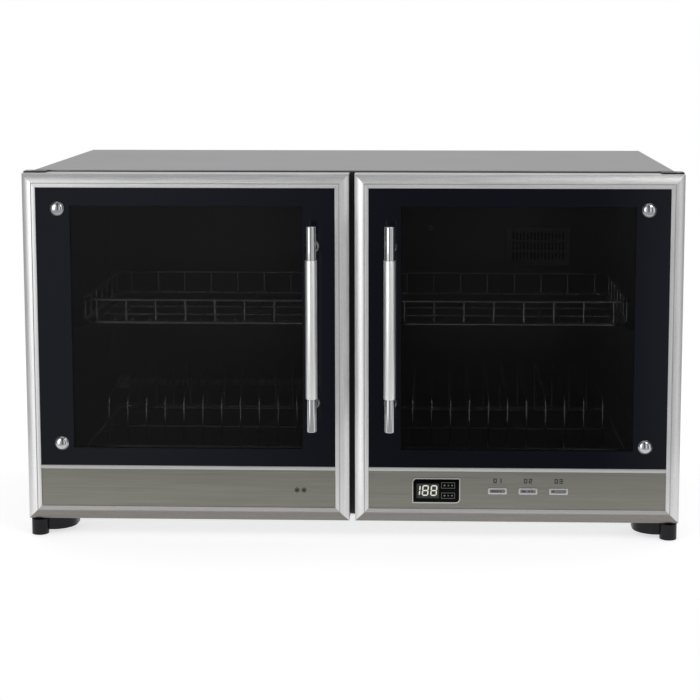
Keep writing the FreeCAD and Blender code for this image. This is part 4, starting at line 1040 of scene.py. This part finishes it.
def fascia_print():
    """Plain figures above the buttons and two small stars on the left fascia."""
    y0, y1 = print_depth(Y_FASCIA, FASCIA_RELIEF)
    labels, stars = Solid(), Solid()
    for number in (1, 2, 3):
        low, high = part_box("button_%d" % number)
        x, z = (low.x + high.x) / 2, (low.z + high.z) / 2 + LABEL_RISE
        for text, offset in (("0", -LABEL_SHIFT), (str(number), LABEL_SHIFT)):
            block_figure(labels, text, x + offset, z, (y0, y1))
    low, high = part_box("left_fascia")
    z = (low.z + high.z) / 2 - STAR_DROP
    for x in STAR_X:
        for k in range(STAR_LINES):
            a = math.pi * k / STAR_LINES + math.pi / 6
            run = Vector((math.cos(a), math.sin(a))) * STAR_RADIUS
            side = Vector((-math.sin(a), math.cos(a))) * STAR_HALF_LINE
            outline = [(x + p.x, z + p.y) for p in (-run - side, run - side, run + side, -run + side)]
            prism(stars, outline, y0 - k * STAR_STEP, y1)
    for name, shape, body in (("button_labels", labels, "right_door"), ("star_marks", stars, "left_door")):
        piece = shape.piece(name, ["ink"])
        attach(piece, body)


def button_prints():
    """A row of plain printed blocks on each button."""
    for number, places in BLOCK_PLACES.items():
        low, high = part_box("button_%d" % number)
        centre = (low + high) / 2
        depth = print_depth(low.y, BLOCK_RELIEF)
        blocks = Solid()
        for k, offset in enumerate(places):
            x = centre.x + offset * MM
            half = BLOCK_HALF_WIDTHS[k % 2]
            z0, z1 = centre.z - BLOCK_HALF_HEIGHT, centre.z + BLOCK_HALF_HEIGHT
            prism(blocks, rectangle(x - half, x + half, z0, z1), *depth)
        piece = blocks.piece("button_print_%d" % number, ["ink"])
        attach(piece, "button_%d" % number)


# ---------------------------------------------------------------- screws of the back

def cross_screws():
    """Pan-head screws round the back panel, each with a thin black cross standing on its head as painted
    shade of a cross recess.
    """
    low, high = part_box("panel_screws")
    face, height = low.y, high.y - low.y
    radius = BACK_SCREW_RADIUS
    head = [(radius * out, height * up) for out, up in PAN_HEAD]
    y = face + height * CROSS_HEIGHT
    solid = Solid()
    for x in (low.x + radius, high.x - radius):
        for z in BACK_SCREW_ROWS:
            lathe(solid, (x, face, z), (0, 1, 0), head, 0, BACK_SCREW_SEGMENTS)
            # painted shade: a thin black cross stands just above the head in place of a cut recess
            for half_x, half_z in CROSS_ARMS:
                arm = rectangle(x - half_x, x + half_x, z - half_z, z + half_z)
                prism(solid, arm, y, y + CROSS_RELIEF, 1)
    piece = solid.piece("back_screws", ["zinc", "black"], 40.0)
    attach(piece, "root")
    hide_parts("panel_screws")


add_camera()
add_world()
add_lamps()
add_floor()
dress_cad_nodes()
door_frame_skins()
dome_screws()
handles()
dividers()
display_print()
fascia_print()
button_prints()
cross_screws()

bpy.context.scene.view_settings.view_transform = "Standard"
